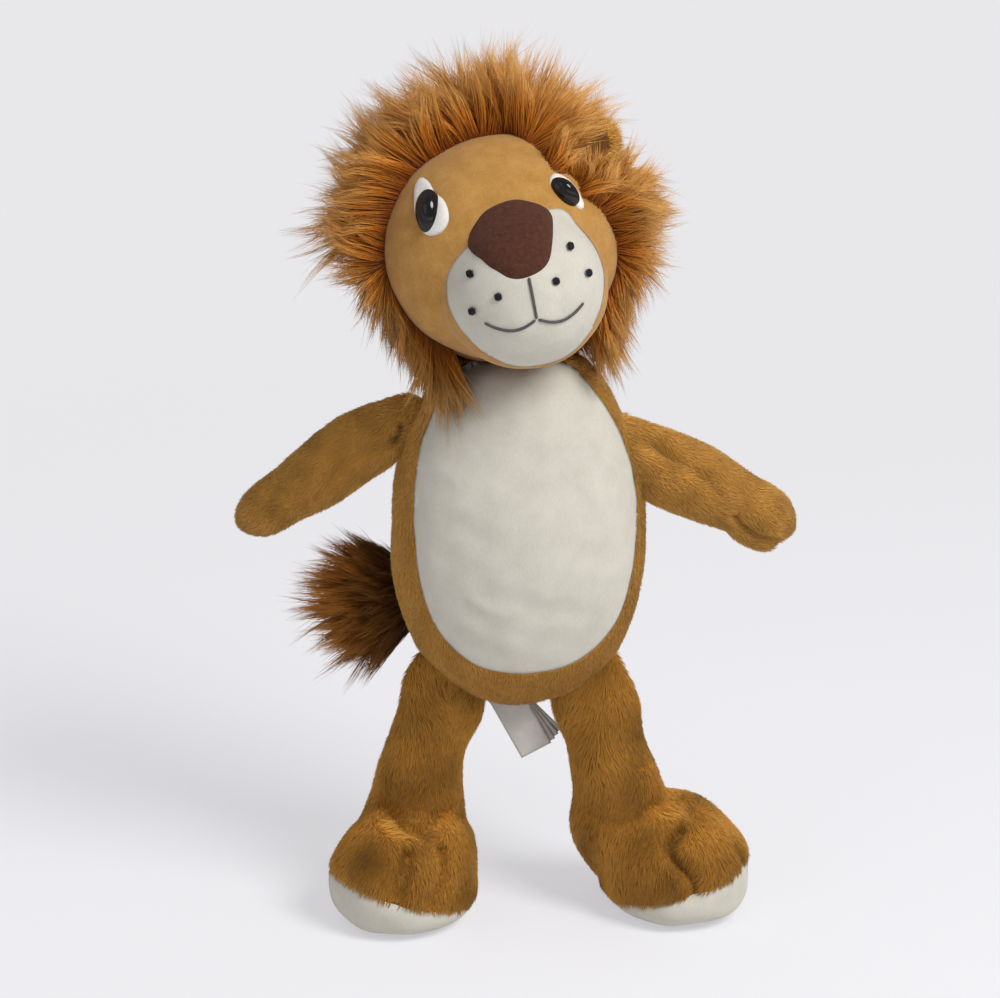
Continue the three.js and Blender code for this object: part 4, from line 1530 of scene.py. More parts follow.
    def brow_fur(self, whole: bpy.types.Object) -> None:
        """Grows the fur where the hairline comes forward over the lion's left eye.

        Args:
            whole: the face's cloth.
        """
        seed = self.mane_seed + 4
        roots = sown(whole, self.brow_density, seed)
        local = moved(roots.places, self.face.inverted())
        turn, reach = np.array(self.brow).T
        around = np.degrees(np.arctan2(local[:, 2], local[:, 0]))
        start = -self.hairline - np.interp(around, turn, reach, left=0, right=0)
        apart = (local[:, [0, 2]] - [self.eye_spread, self.eye_lifts[1]]) / self.brow_gap
        ahead = local[:, 1] < -self.hairline - 0.4
        roots = roots.kept((local[:, 1] > start) & ahead & (np.hypot(*apart.T) > 1))
        self.locks("mane_brow", roots, seed)

    def locks(self, name: str, roots: Roots, seed: int) -> None:
        """Grows one piece of the mane and lets it ride on the head.

        Args:
            name: the piece's name.
            roots: where its fibres grow.
            seed: which random draw.
        """
        local = moved(roots.places, self.face.inverted())
        flat = unit(local * np.array([1.0, 0.0, 1.0]))
        out = turned(roots.ways, self.face.inverted())
        x, z = local[:, 0], local[:, 2]
        behind = np.clip(local[:, 1:2] / 40, 0, 1)
        before = np.clip((4 - local[:, 1:2]) / 15, 0, 1)
        # Where the fur stops standing out and hangs down; lower on the lion's left.
        turn = -5 + 12 * np.clip(x / 30, 0, 1)
        below = np.clip((-z - turn) / 8, 0, 1)[:, None]
        beside = np.clip((z + turn) / 8, 0, 1)[:, None] * (1 - np.abs(flat[:, 2:3]))
        above = np.clip(z / 43, 0, 1)
        ahead, up = np.array([0.0, -1.0, 0.0]), np.array([0.0, 0.0, 1.0])
        way = flat * (1 - 0.9 * below) + out * (0.5 + 0.35 * behind) * (1 - 0.75 * below)
        way += ahead * 0.35 * before + up * (0.4 * beside - 0.35 * behind - 1.3 * below)
        spin = np.cross(flat, ahead) * 0.5 * drift(local, 16, seed)[:, None] * (1 - 0.8 * below)
        peak = np.exp(-(((x - self.peak_shift) / self.peak_reach) ** 2))
        temple = np.exp(-(np.hypot(x - self.temple[0], z - self.temple[1]) / self.temple_reach) ** 2)
        long = self.fur_length + 3 * drift(local, 17, self.mane_seed - 1)
        long += self.crown_rise * above + self.peak_rise * peak * above**2
        long += self.temple_rise * temple + self.nape_rise * behind[:, 0]
        long += below[:, 0] * (8 * np.clip((-z - 22) / 8, 0, 1) - 5)
        turn = np.degrees(np.arctan2(z, x)) - self.ear_angle
        long *= 1 - self.ear_trim * np.exp(-((turn / self.ear_gap) ** 2)) * before[:, 0] ** 0.5
        sag = up * (3 * beside - 4 * below * (2 - before)) - ahead * 2 * before + spin * 20
        # Painted light and shade: the fur is painted paler towards the crown, and darker low on the
        # lion's right side.
        shade = 0.12 * above - 0.3 * below[:, 0] * (x < 0)
        ways = turned(unit(unit(way) + spin), self.face)
        piece = self.fur.grow(name, roots, ways, long, turned(sag, self.face), shade, seed + 4)
        shown(piece, Finish.MANE_PILE, "head")
        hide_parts("mane")

    def nose(self) -> None:
        """Makes the padded felt nose."""
        outline = mirrored(self.nose_width / 2, self.nose_height / 2, self.nose_shares)
        place = self.face @ Matrix.Translation((self.nose_shift, 0, self.nose_lift))
        place = place @ Matrix.Rotation(-math.radians(self.nose_roll), 4, "Y")
        panel = Panel(place, outline, self.nose_pad + 0.6, tuck=0.2, crown=5, around=80, rings=18)
        pad = panel.make("nose_felt_pad", self.skin)
        shown(pad, Finish.NOSE_FELT, "head")
        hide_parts("nose")

    def mouth(self) -> None:
        """Makes the embroidered mouth: one upright stitch and two smiles."""
        lift, corner = self.thread_lift, -self.lip_drop - self.lip_length
        line = [self.ahead(self.muzzle_shift, -self.lip_drop - share * self.lip_length, lift)
                for share in (0, 0.25, 0.5, 0.75, 1)]
        lip = strand("lip_embroidery", np.array(line), self.thread)
        shown(lip, Finish.MOUTH_THREAD, "head")
        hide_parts("lip_stitch")
        for side in Side:
            points = []
            for share in (0.02, 0.28, 0.52, 0.76, 1):
                sag = self.smile_sag * math.sin(math.pi * share) - self.smile_rise * share**2
                x = self.muzzle_shift + side.value * share * self.smile_width / 2
                points.append(self.ahead(x, corner - sag, lift))
            smile = strand(f"{side.word}_smile_embroidery", np.array(points), self.thread)
            shown(smile, Finish.MOUTH_THREAD, "head")
            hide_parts(f"{side.word}_smile_stitch")

    def dots(self) -> None:
        """Makes the six embroidered whisker dots."""
        for side in Side:
            places = self.left_dots if side is Side.LEFT else self.right_dots
            for i, (out, drop) in enumerate(places):
                x, z = self.muzzle_shift + side.value * out, -drop
                bm = bmesh.new()
                for row in np.linspace(-0.36, 0.36, 5):
                    half = math.sqrt(0.25 - (row * 0.95) ** 2) * self.dot_width * 1.35
                    line = [self.ahead(x + row * self.dot_width, z + k * half, 1.0 + 0.5 * (1 - abs(k)))
                            for k in (-1, -0.4, 0.4, 1)]
                    add_thread(bm, np.array(line), self.dot_width * 0.26, 6)
                dot = object_from(f"{side.word}_whisker_knot_{i + 1}", bm)
                shown(dot, Finish.DOT_THREAD, "head")
                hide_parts(f"{side.word}_whisker_dot_{i + 1}")

    def eye_frame(self, side: Side) -> Matrix:
        """The frame of an eye: it looks along its own -Y."""
        x, z = side.value * self.eye_spread, self.eye_lifts[side is Side.LEFT]
        spot = Vector(self.ahead(x, z, 0))
        share = np.array([self.eye_facing, 1, self.eye_facing])
        half = np.array([self.width, self.depth, self.height]) / 2
        deep = -half[1] * math.sqrt(1 - (x / half[0]) ** 2 - (z / half[2]) ** 2)
        out = unit(np.array([x, deep, z]) * share / half**2)
        way = Vector(turned(out[None], self.face)[0])
        look = Vector((0, -1, 0)).rotation_difference(self.face.inverted().to_3x3() @ way)
        return Matrix.Translation(spot) @ self.face.to_3x3().to_4x4() @ look.to_matrix().to_4x4()

    def eye(self, side: Side) -> None:
        """Makes an eye button, its rim, the white felt behind it and the washer's finish."""
        place = self.eye_frame(side)
        tilt = Matrix.Rotation(math.radians(self.eye_tilts[side is Side.LEFT]), 4, "Y")
        width, height = self.eye_sizes[side is Side.LEFT]
        rule = egg_rule(width, 1.7 * self.eye_dome, height)
        button = ball_object(f"{side.word}_eye_button", 48, 32, rule, place @ tilt)
        shown(button, Finish.EYE_RIM, "head")
        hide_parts(f"{side.word}_eye")
        rule = egg_rule(0.8 * width, 1.95 * self.eye_dome, 0.84 * height)
        at = place @ tilt @ Matrix.Translation((0.6, 0, 0.5))
        pupil = ball_object(f"{side.word}_eye_pupil", 48, 32, rule, at)
        shown(pupil, Finish.EYE_BLACK, "head")
        shares = self.left_white if side is Side.LEFT else self.right_white
        outline = Outline(tuple(
            (x * self.white_width / 2, z * self.white_height / 2) for x, z in shares
        ))
        lift = self.eye_lifts[side is Side.LEFT]
        spot = self.face @ Matrix.Translation((side.value * self.eye_spread, 0, lift))
        panel = Panel(spot, outline, puff=1.2, tuck=0.2, crown=10, around=64, rings=12)
        white = panel.make(f"{side.word}_eye_felt", self.skin)
        shown(white, Finish.WHITE_FELT, "head")
        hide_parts(f"{side.word}_eye_white")
        dress(frame["nodes"][f"{side.word}_eye_washer"], Finish.NYLON)

    def ear(self, side: Side) -> None:
        """Makes a round ear with a dished front, painted darker as shade in its hollow."""
        spin = Matrix.Rotation(-side.value * math.radians(self.ear_angle), 4, "Y")
        middle = -self.ear_forward[side is Side.LEFT]
        place = self.face @ spin @ Matrix.Translation((side.value * self.ear_reach, middle, 0))

        def rule(ball: np.ndarray) -> np.ndarray:
            """A thick round flap whose front is pressed in."""
            out = ball * np.array([self.ear_height, self.ear_thick, self.ear_width]) / 2
            near = np.exp(-((ball[:, 0] ** 2 + ball[:, 2] ** 2) / 0.36))
            front = np.clip(-ball[:, 1], 0, 1)
            out[:, 1] += 0.85 * self.ear_thick * near * front
            return out

        flap = ball_object(f"{side.word}_ear_flap", 40, 28, rule, place)
        shown(flap, Finish.BODY_CLOTH, "head")
        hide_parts(f"{side.word}_ear")
        dish = ball_object(f"{side.word}_ear_dish", 40, 20, lambda ball: np.column_stack([
            ball[:, 0] * self.ear_height * 0.31,
            -0.35 * self.ear_thick + ball[:, 1] * 0.6,
            ball[:, 2] * self.ear_width * 0.31,
        ]), place)
        shown(dish, Finish.EAR_SHADE_CLOTH, "head")
        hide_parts(f"{side.word}_ear_lining")
        roots = sown(flap, self.fuzz.density, self.ear_seed + side.value)
        local = moved(roots.places, place.inverted())
        far = np.hypot(local[:, 0] / self.ear_height, local[:, 2] / self.ear_width) > 0.3
        roots = roots.kept(far | (local[:, 1] > 0))
        brushed = turned(unit(moved(roots.places, place.inverted())), place)
        seed = self.ear_seed + 3 + side.value
        fuzz = self.fuzz.grow(f"{side.word}_ear_pile", roots, brushed, seed)
        shown(fuzz, Finish.BODY_PILE, "head")


@dataclass
class Arm:
    """A stuffed arm with a ball hand; the lion's left one has a thumb."""

    side: Side
    length: float = 72.0
    width: float = 29.0
    depth: float = 27.0
    droop: float = 31.0
    height: float = 193.0
    out: float = 44.75
    thumb_length: float = 24.0
    thumb_width: float = 11.0
    thumb_drop: float = 9.0
    thumb_lag: float = 2.5
    # Each station is a share of the length, the width and the depth.
    shares: tuple = (
        (0, 0, 0), (0.05, 0.48, 0.5), (0.13, 0.72, 0.76), (0.22, 0.79, 0.84), (0.33, 0.82, 0.86),
        (0.46, 0.93, 0.94), (0.6, 1, 0.94), (0.76, 1, 0.8), (0.9, 0.94, 0.6), (1.03, 0.84, 0.45),
        (1.15, 0.7, 0.3), (1.22, 0, 0),
    )
    # How far the right and the left arm bow up, from the hand to the shoulder.
    right_bow: tuple = (0, 0, 0, 0.5, 1, 1.5, 2.5, 3.5, 3.2, 3, 3, 3)
    left_bow: tuple = (-3, -3, -3, -3.2, -3.6, -4.2, -5, -6, -6.6, -7, -7, -7)
    # The slit over the left thumb, a dimple by the right armpit and a soft fold along each arm,
    # as x and z from the shoulder.
    slit: tuple = ((-7, -48), (-9, -52.5), (-9.4, -58), (-8, -65.5))
    dimple: tuple = ((-3, 3), (-1, 1), (0, -2))
    left_fold: tuple = ((-1, -4), (0, -14), (0.5, -26), (-2, -38))
    right_fold: tuple = ((0, -3), (-4, -13), (-3, -23), (-1.5, -31), (3, -39))
    # Each groove is how deep it is and how far it spreads to each side.
    fold_groove: tuple = (1.7, 2.5)
    slit_groove: tuple = (2.6, 1.6)
    dimple_groove: tuple = (3.0, 1.6)
    right_slim: float = 0.94
    left_slim: float = 1.03
    # The seam bends from so far inside the shoulder to so far outside it.
    bend: tuple = (-4.0, 8.0)
    stuffing: Stuffing = Stuffing(voxel=1.3, passes=3, blow=2, lump=0.35, wave=26)
    pile: ShortPile = ShortPile(
        length=1.9, width=0.4, density=3.2, lean=1.6, stray=0.24, swirl=0.45, patch=12,
        mottle=0.14, crease=1.8,
    )
    seed: int = 50

    def build(self) -> None:
        """Makes the arm's skin and pile."""
        sign, word = self.side.value, self.side.word
        spin = Matrix.Rotation(-sign * math.radians(90 - self.droop), 4, "Y")
        place = frame_at(sign * self.out, 0, self.height) @ spin
        left = self.side is Side.LEFT
        bow, slim = (self.left_bow, self.left_slim) if left else (self.right_bow, self.right_slim)
        rule = stuffed_rule([
            (sign * rise, 0, (up - 1) * self.length, slim * across * self.width / 2,
             deep * self.depth / 2)
            for (up, across, deep), rise in zip(self.shares, bow)
        ])
        bm = bmesh.new()
        add_ball(bm, 48, 48, rule, place)
        if left:
            lift = self.thumb_length / 2 - self.length + self.thumb_lag
            at = Matrix.Translation((bow[0] - self.thumb_drop, 0, lift))
            thumb = egg_rule(self.thumb_width, self.thumb_width, self.thumb_length)
            add_ball(bm, 24, 24, thumb, place @ at)
        skin = object_from(f"{word}_arm_skin", bm)
        seed = self.seed + sign
        self.stuffing.fill(skin, seed)
        fold = self.left_fold if left else self.right_fold
        pressed(skin, on_skin(surface(skin), place, fold), *self.fold_groove)
        crease = on_skin(surface(skin), place, self.slit if left else self.dimple)
        pressed(skin, crease, *(self.slit_groove if left else self.dimple_groove))
        roots = sown(skin, self.pile.density, seed + 1)
        down = np.tile(turned(np.array([[0.0, 0.0, -1.0]]), place)[0], (len(roots.places), 1))
        # Near the left thumb's slit and the right armpit's dimple the pile is shortened and painted
        # darker, as shade in the hollow.
        seam = from_line(roots.places, crease) + 0.3
        fur = self.pile.grow(f"{word}_arm_pile", roots, down, seed + 4, seam)
        start, end = (AXIS + Vector((sign * (self.out + far), 0, self.height)) for far in self.bend)
        bent(skin, Finish.BODY_CLOTH)
        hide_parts(f"{word}_arm_cover", f"{word}_arm_stuffing")
        bent(fur, Finish.BODY_PILE)


@dataclass
class Leg:
    """A stuffed leg with a big foot, its pale sole and the pulled stitches of its toes."""

    side: Side
    foot_out: float
    foot_forward: float
    foot_splay: float
    height: float = 110.0
    width: float = 36.0
    depth: float = 33.0
    spread: float = 29.0
    hip: float = 86.0
    splay: float = 13.0
    foot_width: float = 56.0
    foot_length: float = 66.0
    foot_up: float = 29.0
    foot_down: float = 18.0
    sole_cut: float = 0.5
    toe_fall: float = 0.24
    toe_swell: float = 0.1
    toe_seam: float = 20.0
    heel_seam: float = 7.0
    sole_tilt: float = 12.0
    # How deep each toe is drawn in; the outer stitch of the lion's left foot is slack.
    groove: float = 4.4
    slack: float = 0.35
    # Each further groove is how deep it is and how far it spreads to each side.
    toe_reach: float = 3.0
    ankle_groove: tuple = (2.2, 4.0)
    sole_groove: tuple = (0.9, 1.8)
    # Each station is a share of the height, the width, the depth and the way out.
    shares: tuple = (
        (0.06, 0, 0, 1), (0.14, 0.8, 0.8, 1), (0.3, 1.16, 1.12, 0.96), (0.44, 1.02, 1.02, 0.78),
        (0.6, 0.9, 0.92, 0.48), (0.73, 0.97, 0.68, 0.1), (0.85, 0.88, 0.42, 0),
        (0.94, 0.6, 0.28, 0), (1, 0, 0, 0),
    )
    # Each pulled stitch as degrees round the toe and shares of the way up to the instep.
    stitches: dict = field(default_factory=lambda: {
        (Side.RIGHT, "outer"): ((24, 0.1), (27, 0.24), (31, 0.38), (33, 0.5)),
        (Side.RIGHT, "inner"): ((50, 0.02), (60, 0.14), (68, 0.28), (72, 0.42)),
        (Side.LEFT, "inner"): ((-25, 0.02), (-27, 0.18), (-39, 0.34), (-46, 0.46), (-30, 0.66)),
        (Side.LEFT, "outer"): ((30, 0.08), (30, 0.22), (28, 0.36)),
    })
    # The fold over the ankle, as x and z from the floor under the hip.
    ankle: tuple = ((-2, 44), (6, 40), (15, 41), (24, 46))
    # The seam bends from so far over the hip to so far under it.
    bend: tuple = (9.0, -16.0)
    toe_thread: float = 0.8
    stuffing: Stuffing = Stuffing(voxel=2.0, passes=6, blow=2, lump=0.7, wave=26)
    pile: ShortPile = ShortPile(
        length=2.4, width=0.42, density=3.1, lean=1.9, stray=0.18, swirl=0.5, patch=22,
        mottle=0.22, crease=2.4, fleck=0.08,
    )
    seed: int = 60

    def __post_init__(self) -> None:
        """Places the leg's frame and the foot's."""
        sign = self.side.value
        self.leg = frame_at(sign * self.spread, 0, 0)
        middle = self.foot_down - self.sole_cut
        turn = Matrix.Rotation(sign * math.radians(self.foot_splay), 4, "Z")
        self.foot = frame_at(sign * self.foot_out, -self.foot_forward, middle) @ turn

    def onto_foot(self, ball: np.ndarray, grow: float = 0.0) -> np.ndarray:
        """Takes corners of the unit ball to the foot's surface: flat below, puffed above."""
        low = ball[:, 2] < 0
        flat = np.linalg.norm(ball[:, :2], axis=1)
        power = np.where(low, 4.0, 2.0)
        reach = (flat**power + np.abs(ball[:, 2]) ** power) ** (-1 / power)
        swell = 1 - self.toe_swell * ball[:, 1]
        fall = np.where(low, 1.0, 1 + self.toe_fall * ball[:, 1])
        up = np.where(low, self.foot_down, self.foot_up) + grow
        return np.column_stack([
            ball[:, 0] * reach * swell * (self.foot_width / 2 + grow),
            ball[:, 1] * reach * (self.foot_length / 2 + grow),
            ball[:, 2] * reach * fall * up,
        ])

    def pull(self, which: str) -> float:
        """How deep one stitch draws the foot in."""
        loose = self.side is Side.LEFT and which == "outer"
        return self.groove * (self.slack if loose else 1)

    def stitch(self, which: str, grow: float) -> np.ndarray:
        """The line of one pulled stitch over the foot."""
        turn, rise = np.array(self.stitches[self.side, which]).T
        around, up = np.radians(turn), rise * math.pi / 2
        flat = np.column_stack([np.sin(around), -np.cos(around)]) * np.cos(up)[:, None]
        way = unit(spline(np.column_stack([flat, np.sin(up)]), np.linspace(0, 1, 13)))
        return moved(self.onto_foot(way, grow), self.foot)

    def build(self) -> None:
        """Makes the leg's skin, sole, pile and stitches."""
        sign, word = self.side.value, self.side.word
        bm = bmesh.new()
        rule = stuffed_rule([
            (sign * out * self.splay, 0, up * self.height, across * self.width / 2,
             deep * self.depth / 2)
            for up, across, deep, out in self.shares
        ])
        add_ball(bm, 48, 48, rule, self.leg)
        add_ball(bm, 64, 48, self.onto_foot, self.foot)
        skin = object_from(f"{word}_leg_skin", bm)
        self.stuffing.fill(skin, self.seed + sign)
        for which in ("inner", "outer"):
            pressed(skin, self.stitch(which, 0), self.pull(which), self.toe_reach)
        fold = [(sign * x, z) for x, z in self.ankle]
        pressed(skin, on_skin(surface(skin), self.leg, fold), *self.ankle_groove)
        slope = math.atan2(self.toe_seam - self.heel_seam, self.foot_length)
        tilt = sign * math.radians(self.sole_tilt)
        up = Vector((-math.sin(tilt), math.sin(slope), math.cos(slope))).normalized()
        up = self.foot.to_3x3() @ up
        middle = self.foot.translation.copy()
        middle.z = (self.toe_seam + self.heel_seam) / 2
        points = coords(skin)
        away = (points - np.array(middle)) @ np.array(up)
        deep, wide = self.sole_groove
        dive = deep * np.exp(-((away / wide) ** 2))
        points -= normals(skin) * dive[:, None]
        points[:, 2] = np.maximum(points[:, 2], 0)
        set_coords(skin, points)
        sole = copy_of(skin, f"{word}_sole_skin")
        cut_open(skin, middle, -up)
        cut_open(sole, middle, up)
        start, end = (AXIS + Vector((sign * self.spread, 0, self.hip + far)) for far in self.bend)
        span = ("torso", f"{word}_leg", start, end)
        self.cover(skin, sole, middle, up, span)
        for which in ("inner", "outer"):
            line = self.stitch(which, -self.pull(which) - 1.5)[::3]
            thread = strand(f"{word}_toe_thread_{which}", line, self.toe_thread)
            shown(thread, Finish.SEWING_THREAD, f"{word}_leg")
            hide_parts(f"{word}_toe_stitch_{which}")

    def cover(self, skin: bpy.types.Object, sole: bpy.types.Object, middle: Vector, up: Vector,
              span: tuple) -> None:
        """Grows pile on the leg, and hands it over with the leg's and the sole's cloth.

        Args:
            skin: the leg's cloth.
            sole: the sole's cloth.
            middle: a point of the plane of the sole's seam.
            up: the way out of that plane.
            span: where the leg bends; not used.
        """
        word, seed = self.side.word, self.seed + self.side.value
        roots = sown(skin, self.pile.density, seed + 1)
        away = (roots.places - np.array(middle)) @ np.array(up)
        roots = roots.kept((away > 0.1) & (roots.places[:, 2] > 0.4))
        down = np.tile([0.0, -0.25, -1.0], (len(roots.places), 1))
        # Near the toes' pulled stitches the pile is shortened and painted darker, as shade in the
        # grooves.
        seam = [from_line(roots.places, self.stitch(which, -self.pull(which) / 2))
                for which in ("inner", "outer")]
        seam = np.minimum(*seam)
        fur = self.pile.grow(f"{word}_leg_pile", roots, down, seed + 4, seam)
        points = coords(fur)
        points[:, 2] = np.maximum(points[:, 2], 0.05)
        set_coords(fur, points)
        bent(skin, Finish.LEG_CLOTH)
        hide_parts(f"{word}_leg_cover", f"{word}_leg_stuffing")
        bent(fur, Finish.LEG_PILE)
        shown(sole, Finish.CREAM_CLOTH, f"{word}_leg")
        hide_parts(f"{word}_sole")


@dataclass
class Tail:
    """The tail: a slim cord of cloth with a long-pile tuft."""

    height: float = 110.0
    back: float = 34.5
    width: float = 9.0
    reach: float = 44.0
    rise: float = 4.0
    tuft_backing: tuple = (22.0, 19.0, 26.0)
    tuft_length: float = 27.0
    tuft_density: float = 5.8
    fur: LongPile = LongPile(width=0.38, lock=42, wisp=6, gather=0.9, curl=0.3, wave=2.8)
    fuzz: ShortPile = ShortPile(
        length=2.2, width=0.42, density=3.0, lean=1.3, stray=0.3, swirl=0.4, patch=12
    )
    seed: int = 81

    def build(self) -> None:
        """Makes the tail and its tuft."""
        place = frame_at(0, 0, self.height)
        line = np.array([
            (0, self.back - self.width, 0),
            (-self.width / 2, self.back + self.width / 4, 0),
            (-self.reach / 2, self.back + self.width / 2, self.rise / 2),
            (-self.reach, self.back, self.rise),
        ])
        cord = strand("tail_cord", moved(line, place), self.width, 20)
        shown(cord, Finish.BODY_CLOTH, "tail")
        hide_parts("tail")
        roots = sown(cord, self.fuzz.density, self.seed)
        aside = np.tile([-1.0, 0.0, 0.0], (len(roots.places), 1))
        fuzz = self.fuzz.grow("tail_pile", roots, aside, self.seed + 1)
        shown(fuzz, Finish.BODY_PILE, "tail")
        self.tuft(place)

    def tuft(self, place: Matrix) -> None:
        """Makes the tuft's backing and its fur.

        Args:
            place: the tail's frame.
        """
        at = place @ Matrix.Translation((-self.reach - 3, self.back, self.rise))
        knob = ball_object("tuft_backing", 32, 24, egg_rule(*self.tuft_backing), at)
        shown(knob, Finish.TUFT_CLOTH, "tail")
        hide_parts("tail_tuft")
        roots = sown(knob, self.tuft_density, self.seed + 2)
        out = roots.ways
        aside = np.tile([-1.0, -0.12, 0.0], (len(out), 1))
        near = np.clip(out[:, 0], 0, 1)[:, None]
        way = unit(out * 0.7 + aside * (0.85 + 0.3 * near))
        long = self.tuft_length + 3 * drift(roots.places, 9, self.seed + 3) - 3 * near[:, 0]
        long += 5 * np.clip(-out[:, 0], 0, 1) - 5 * np.clip(-out[:, 2] - 0.3, 0, 1)
        # The upper locks curl up and the lower ones droop.
        sag = np.column_stack([np.full(len(out), -5.0), np.zeros(len(out)), 5 * out[:, 2] - 3])
        # Painted shade: the fur is darker on the side that faces the body, paler away from it.
        shade = 0.12 - 0.55 * np.clip((out[:, 0] + 0.6) / 0.9, 0, 1)
        piece = self.fur.grow("tuft_fur", roots, way, long, sag, shade, self.seed + 4)
        shown(piece, Finish.TUFT_PILE, "tail")
        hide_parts("tail_tuft")


@dataclass
class Label:
    """The care label between the legs: a fan of bare satin leaves."""

    width: float = 13.0
    length: float = 30.0
    thick: float = 0.25
    root: float = 6.0
    back: float = 3.0
    pitch: float = 0.8
    count: int = 4
    turn: float = 33.0
    fan: float = 5.0
    shift: float = 0.3
    hip: float = 84.0
    # How far a leaf's tip curls back, and how far it waves from edge to edge.
    curl: float = 1.6
    ripple: float = 0.5

    def build(self) -> None:
        """Makes the leaves, each a little curled."""
        for i in range(self.count):
            angle = -math.radians(self.turn + (i - 1) * self.fan)
            place = frame_at(-self.shift * self.width, self.back + i * self.pitch, self.hip)
            place = place @ Matrix.Rotation(angle, 4, "Y")
            bm = bmesh.new()
            bmesh.ops.create_grid(bm, x_segments=12, y_segments=24, size=0.5)
            ball = np.array([v.co for v in bm.verts])
            x, z = ball[:, 0] * self.width, (ball[:, 1] - 0.5) * self.length + self.root
            hang = np.clip(-z / self.length, 0, 1)
            y = self.curl * hang**2 * (0.6 + 0.3 * i)
            y += self.ripple * np.sin(x / self.width * 2.4 + i) * hang
            for vert, point in zip(bm.verts, moved(np.column_stack([x, y, z]), place)):
                vert.co = point
            leaf = object_from(f"care_leaf_{i + 1}", bm)
            wall = leaf.modifiers.new("thickness", "SOLIDIFY")
            wall.thickness, wall.offset = self.thick * MM, 0
            bake_modifiers(leaf)
            shown(leaf, Finish.SATIN, "torso")
            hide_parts(f"care_label_leaf_{i + 1}")


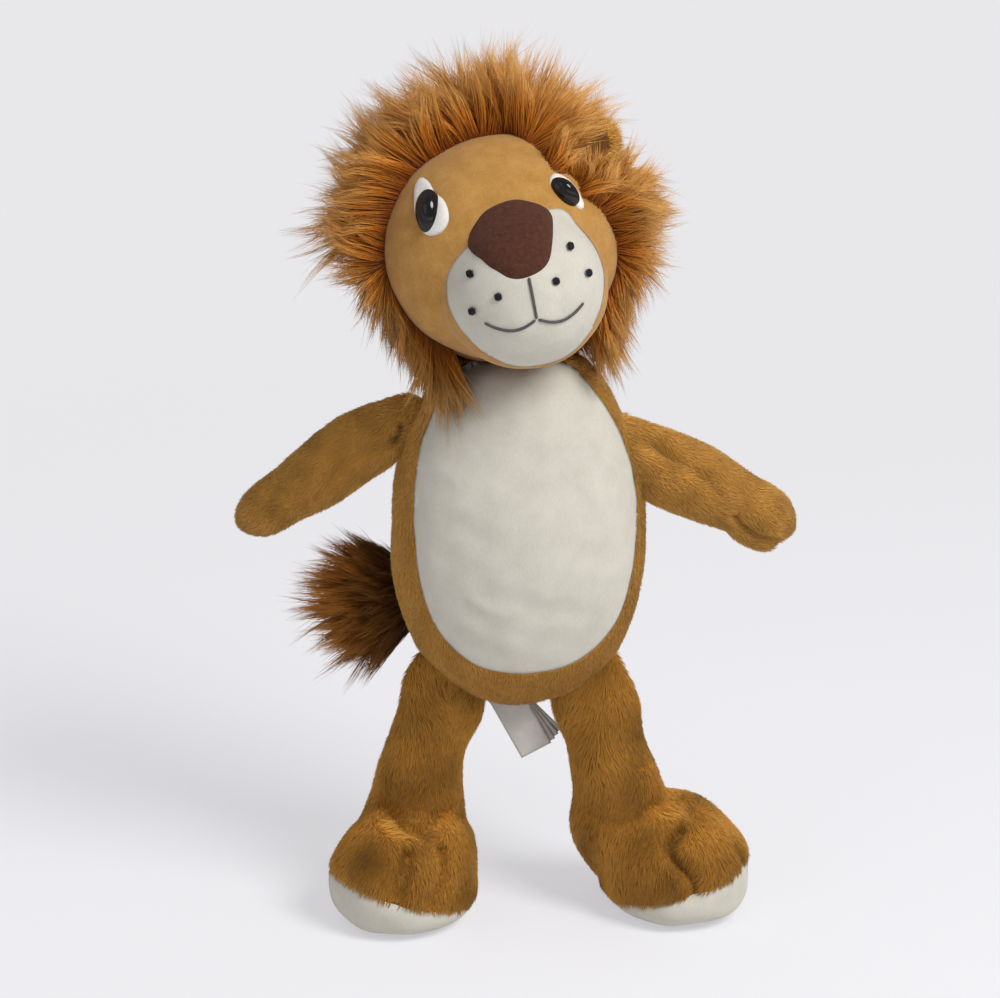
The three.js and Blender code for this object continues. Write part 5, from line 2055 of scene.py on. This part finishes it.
@dataclass
class Stage:
    """The camera, the lights, the floor and the backdrop."""

    elevation: float = 18.0
    distance: float = 1600.0
    field_width: float = 380.0
    look_x: float = -6.8
    look_z: float = 166.6
    sensor: float = 36.0
    backdrop: str = "#E8E7EA"
    paper_colour: str = "#F2F2F4"
    sky_colour: str = "#F4F4FA"
    sky_power: float = 0.54
    # The lamps look half way up the lion.
    lamp_aim: float = 170.0
    floor_reach: float = 3000.0
    fade_start: float = 250.0
    fade_end: float = 900.0
    glow_share: float = 0.6

    def camera(self) -> None:
        """Places the camera at the photograph's angle."""
        tilt = math.radians(self.elevation)
        data = bpy.data.cameras.new("camera")
        data.sensor_width = self.sensor
        data.lens = self.sensor * self.distance / self.field_width
        data.clip_end = 50
        eye = bpy.data.objects.new("camera", data)
        bpy.context.collection.objects.link(eye)
        eye.rotation_euler = (math.pi / 2 - tilt, 0, 0)
        look = AXIS + Vector((self.look_x, 0, self.look_z))
        away = Vector((0, -math.cos(tilt), math.sin(tilt)))
        eye.location = (look + away * self.distance) * MM
        bpy.context.scene.camera = eye

    def light(self, name: str, place: tuple, size: float, power: float) -> None:
        """Adds a soft lamp that looks at the lion.

        Args:
            name: the lamp's name.
            place: where it hangs, in metres.
            size: how wide it is, in metres.
            power: its power in watts.
        """
        data = bpy.data.lights.new(name, "AREA")
        data.shape, data.size, data.energy = "DISK", size, power
        lamp = bpy.data.objects.new(name, data)
        bpy.context.collection.objects.link(lamp)
        lamp.location = place
        aim = Vector((0, 0, self.lamp_aim * MM)) - Vector(place)
        lamp.rotation_euler = aim.to_track_quat("-Z", "Y").to_euler()

    def build(self) -> None:
        """Lights the lion, lays the paper under it, and shows the camera the backdrop's colour where the
        paper ends.
        """
        self.light("key", place=(1.2, -1.15, 1.8), size=1.1, power=50)
        self.light("fill", place=(-1.5, -1.2, 1.0), size=1.5, power=3)
        world = bpy.data.worlds.new("studio")
        bpy.context.scene.world = world
        world.use_nodes = True
        tree = world.node_tree
        back = tree.nodes["Background"]
        plug(tree, back, {0: linear(self.sky_colour), 1: self.sky_power}, {})
        # The camera sees the paper's pale grey where the floor ends.
        seen = add(tree, "ShaderNodeBackground", {0: linear(self.backdrop), 1: 1.0}, {})
        rays = add(tree, "ShaderNodeLightPath", {}, {})
        mixed = add(tree, "ShaderNodeMixShader", {},
                    {0: rays.outputs["Is Camera Ray"], 1: back.outputs[0], 2: seen.outputs[0]})
        tree.links.new(mixed.outputs[0], tree.nodes["World Output"].inputs[0])
        bm = bmesh.new()
        bmesh.ops.create_grid(bm, x_segments=2, y_segments=2, size=self.floor_reach)
        floor = object_from("floor", bm)
        floor.data.materials.append(self.paper())
        floor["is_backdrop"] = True

    def paper(self) -> bpy.types.Material:
        """White paper that keeps a pale shadow and fades into the backdrop far out."""
        made, tree, shader = new_material("paper_white")
        plug(tree, shader, {"[Base Color]": linear(self.paper_colour), "[Roughness]": 0.9,
                            "[Specular IOR Level]": 0.1}, {})
        glow = add(tree, "ShaderNodeEmission", {0: linear(self.backdrop), 1: 1.0}, {})
        rays = add(tree, "ShaderNodeLightPath", {}, {})
        place = add(tree, "ShaderNodeTexCoord", {}, {})
        reach = add(tree, "ShaderNodeVectorMath", {"operation": "LENGTH"}, {0: place.outputs["Object"]})
        far = add(
            tree,
            "ShaderNodeMapRange",
            {1: self.fade_start * MM, 2: self.fade_end * MM, 3: self.glow_share, 4: 1.0},
            {0: reach.outputs["Value"]},
        )
        share = add(
            tree,
            "ShaderNodeMath",
            {"operation": "MULTIPLY"},
            {0: far.outputs[0], 1: rays.outputs["Is Camera Ray"]},
        )
        mixed = add(
            tree,
            "ShaderNodeMixShader",
            {},
            {0: share.outputs[0], 1: shader.outputs[0], 2: glow.outputs[0]},
        )
        tree.links.new(mixed.outputs[0], tree.nodes["Material Output"].inputs[0])
        return made


def main() -> None:
    """Builds the scene piece by piece."""
    logging.basicConfig(level=logging.INFO, format="%(name)s: %(message)s")
    bpy.context.scene.view_settings.view_transform = "Standard"
    stage = Stage()
    stage.camera()
    stage.build()
    for part in (
        Torso(),
        Head(),
        Arm(Side.RIGHT),
        Arm(Side.LEFT),
        Leg(Side.RIGHT, foot_out=43, foot_forward=10, foot_splay=28),
        Leg(Side.LEFT, foot_out=60, foot_forward=2, foot_splay=38),
        Tail(),
        Label(),
    ):
        part.build()
        LOG.info("%s built", type(part).__name__)
    dress(frame["nodes"]["neck_stuffing"], Finish.BODY_CLOTH)
    dress(frame["nodes"]["closing_stitch"], Finish.SEWING_THREAD)
    faces = {o.name: sum(len(p.vertices) - 2 for p in o.data.polygons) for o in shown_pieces()
             if o.type == "MESH"}
    LOG.info("%d triangles in %d pieces, most in %s", sum(faces.values()), len(faces),
             sorted(faces.items(), key=lambda item: -item[1])[:6])


if __name__ == "__main__":
    main()
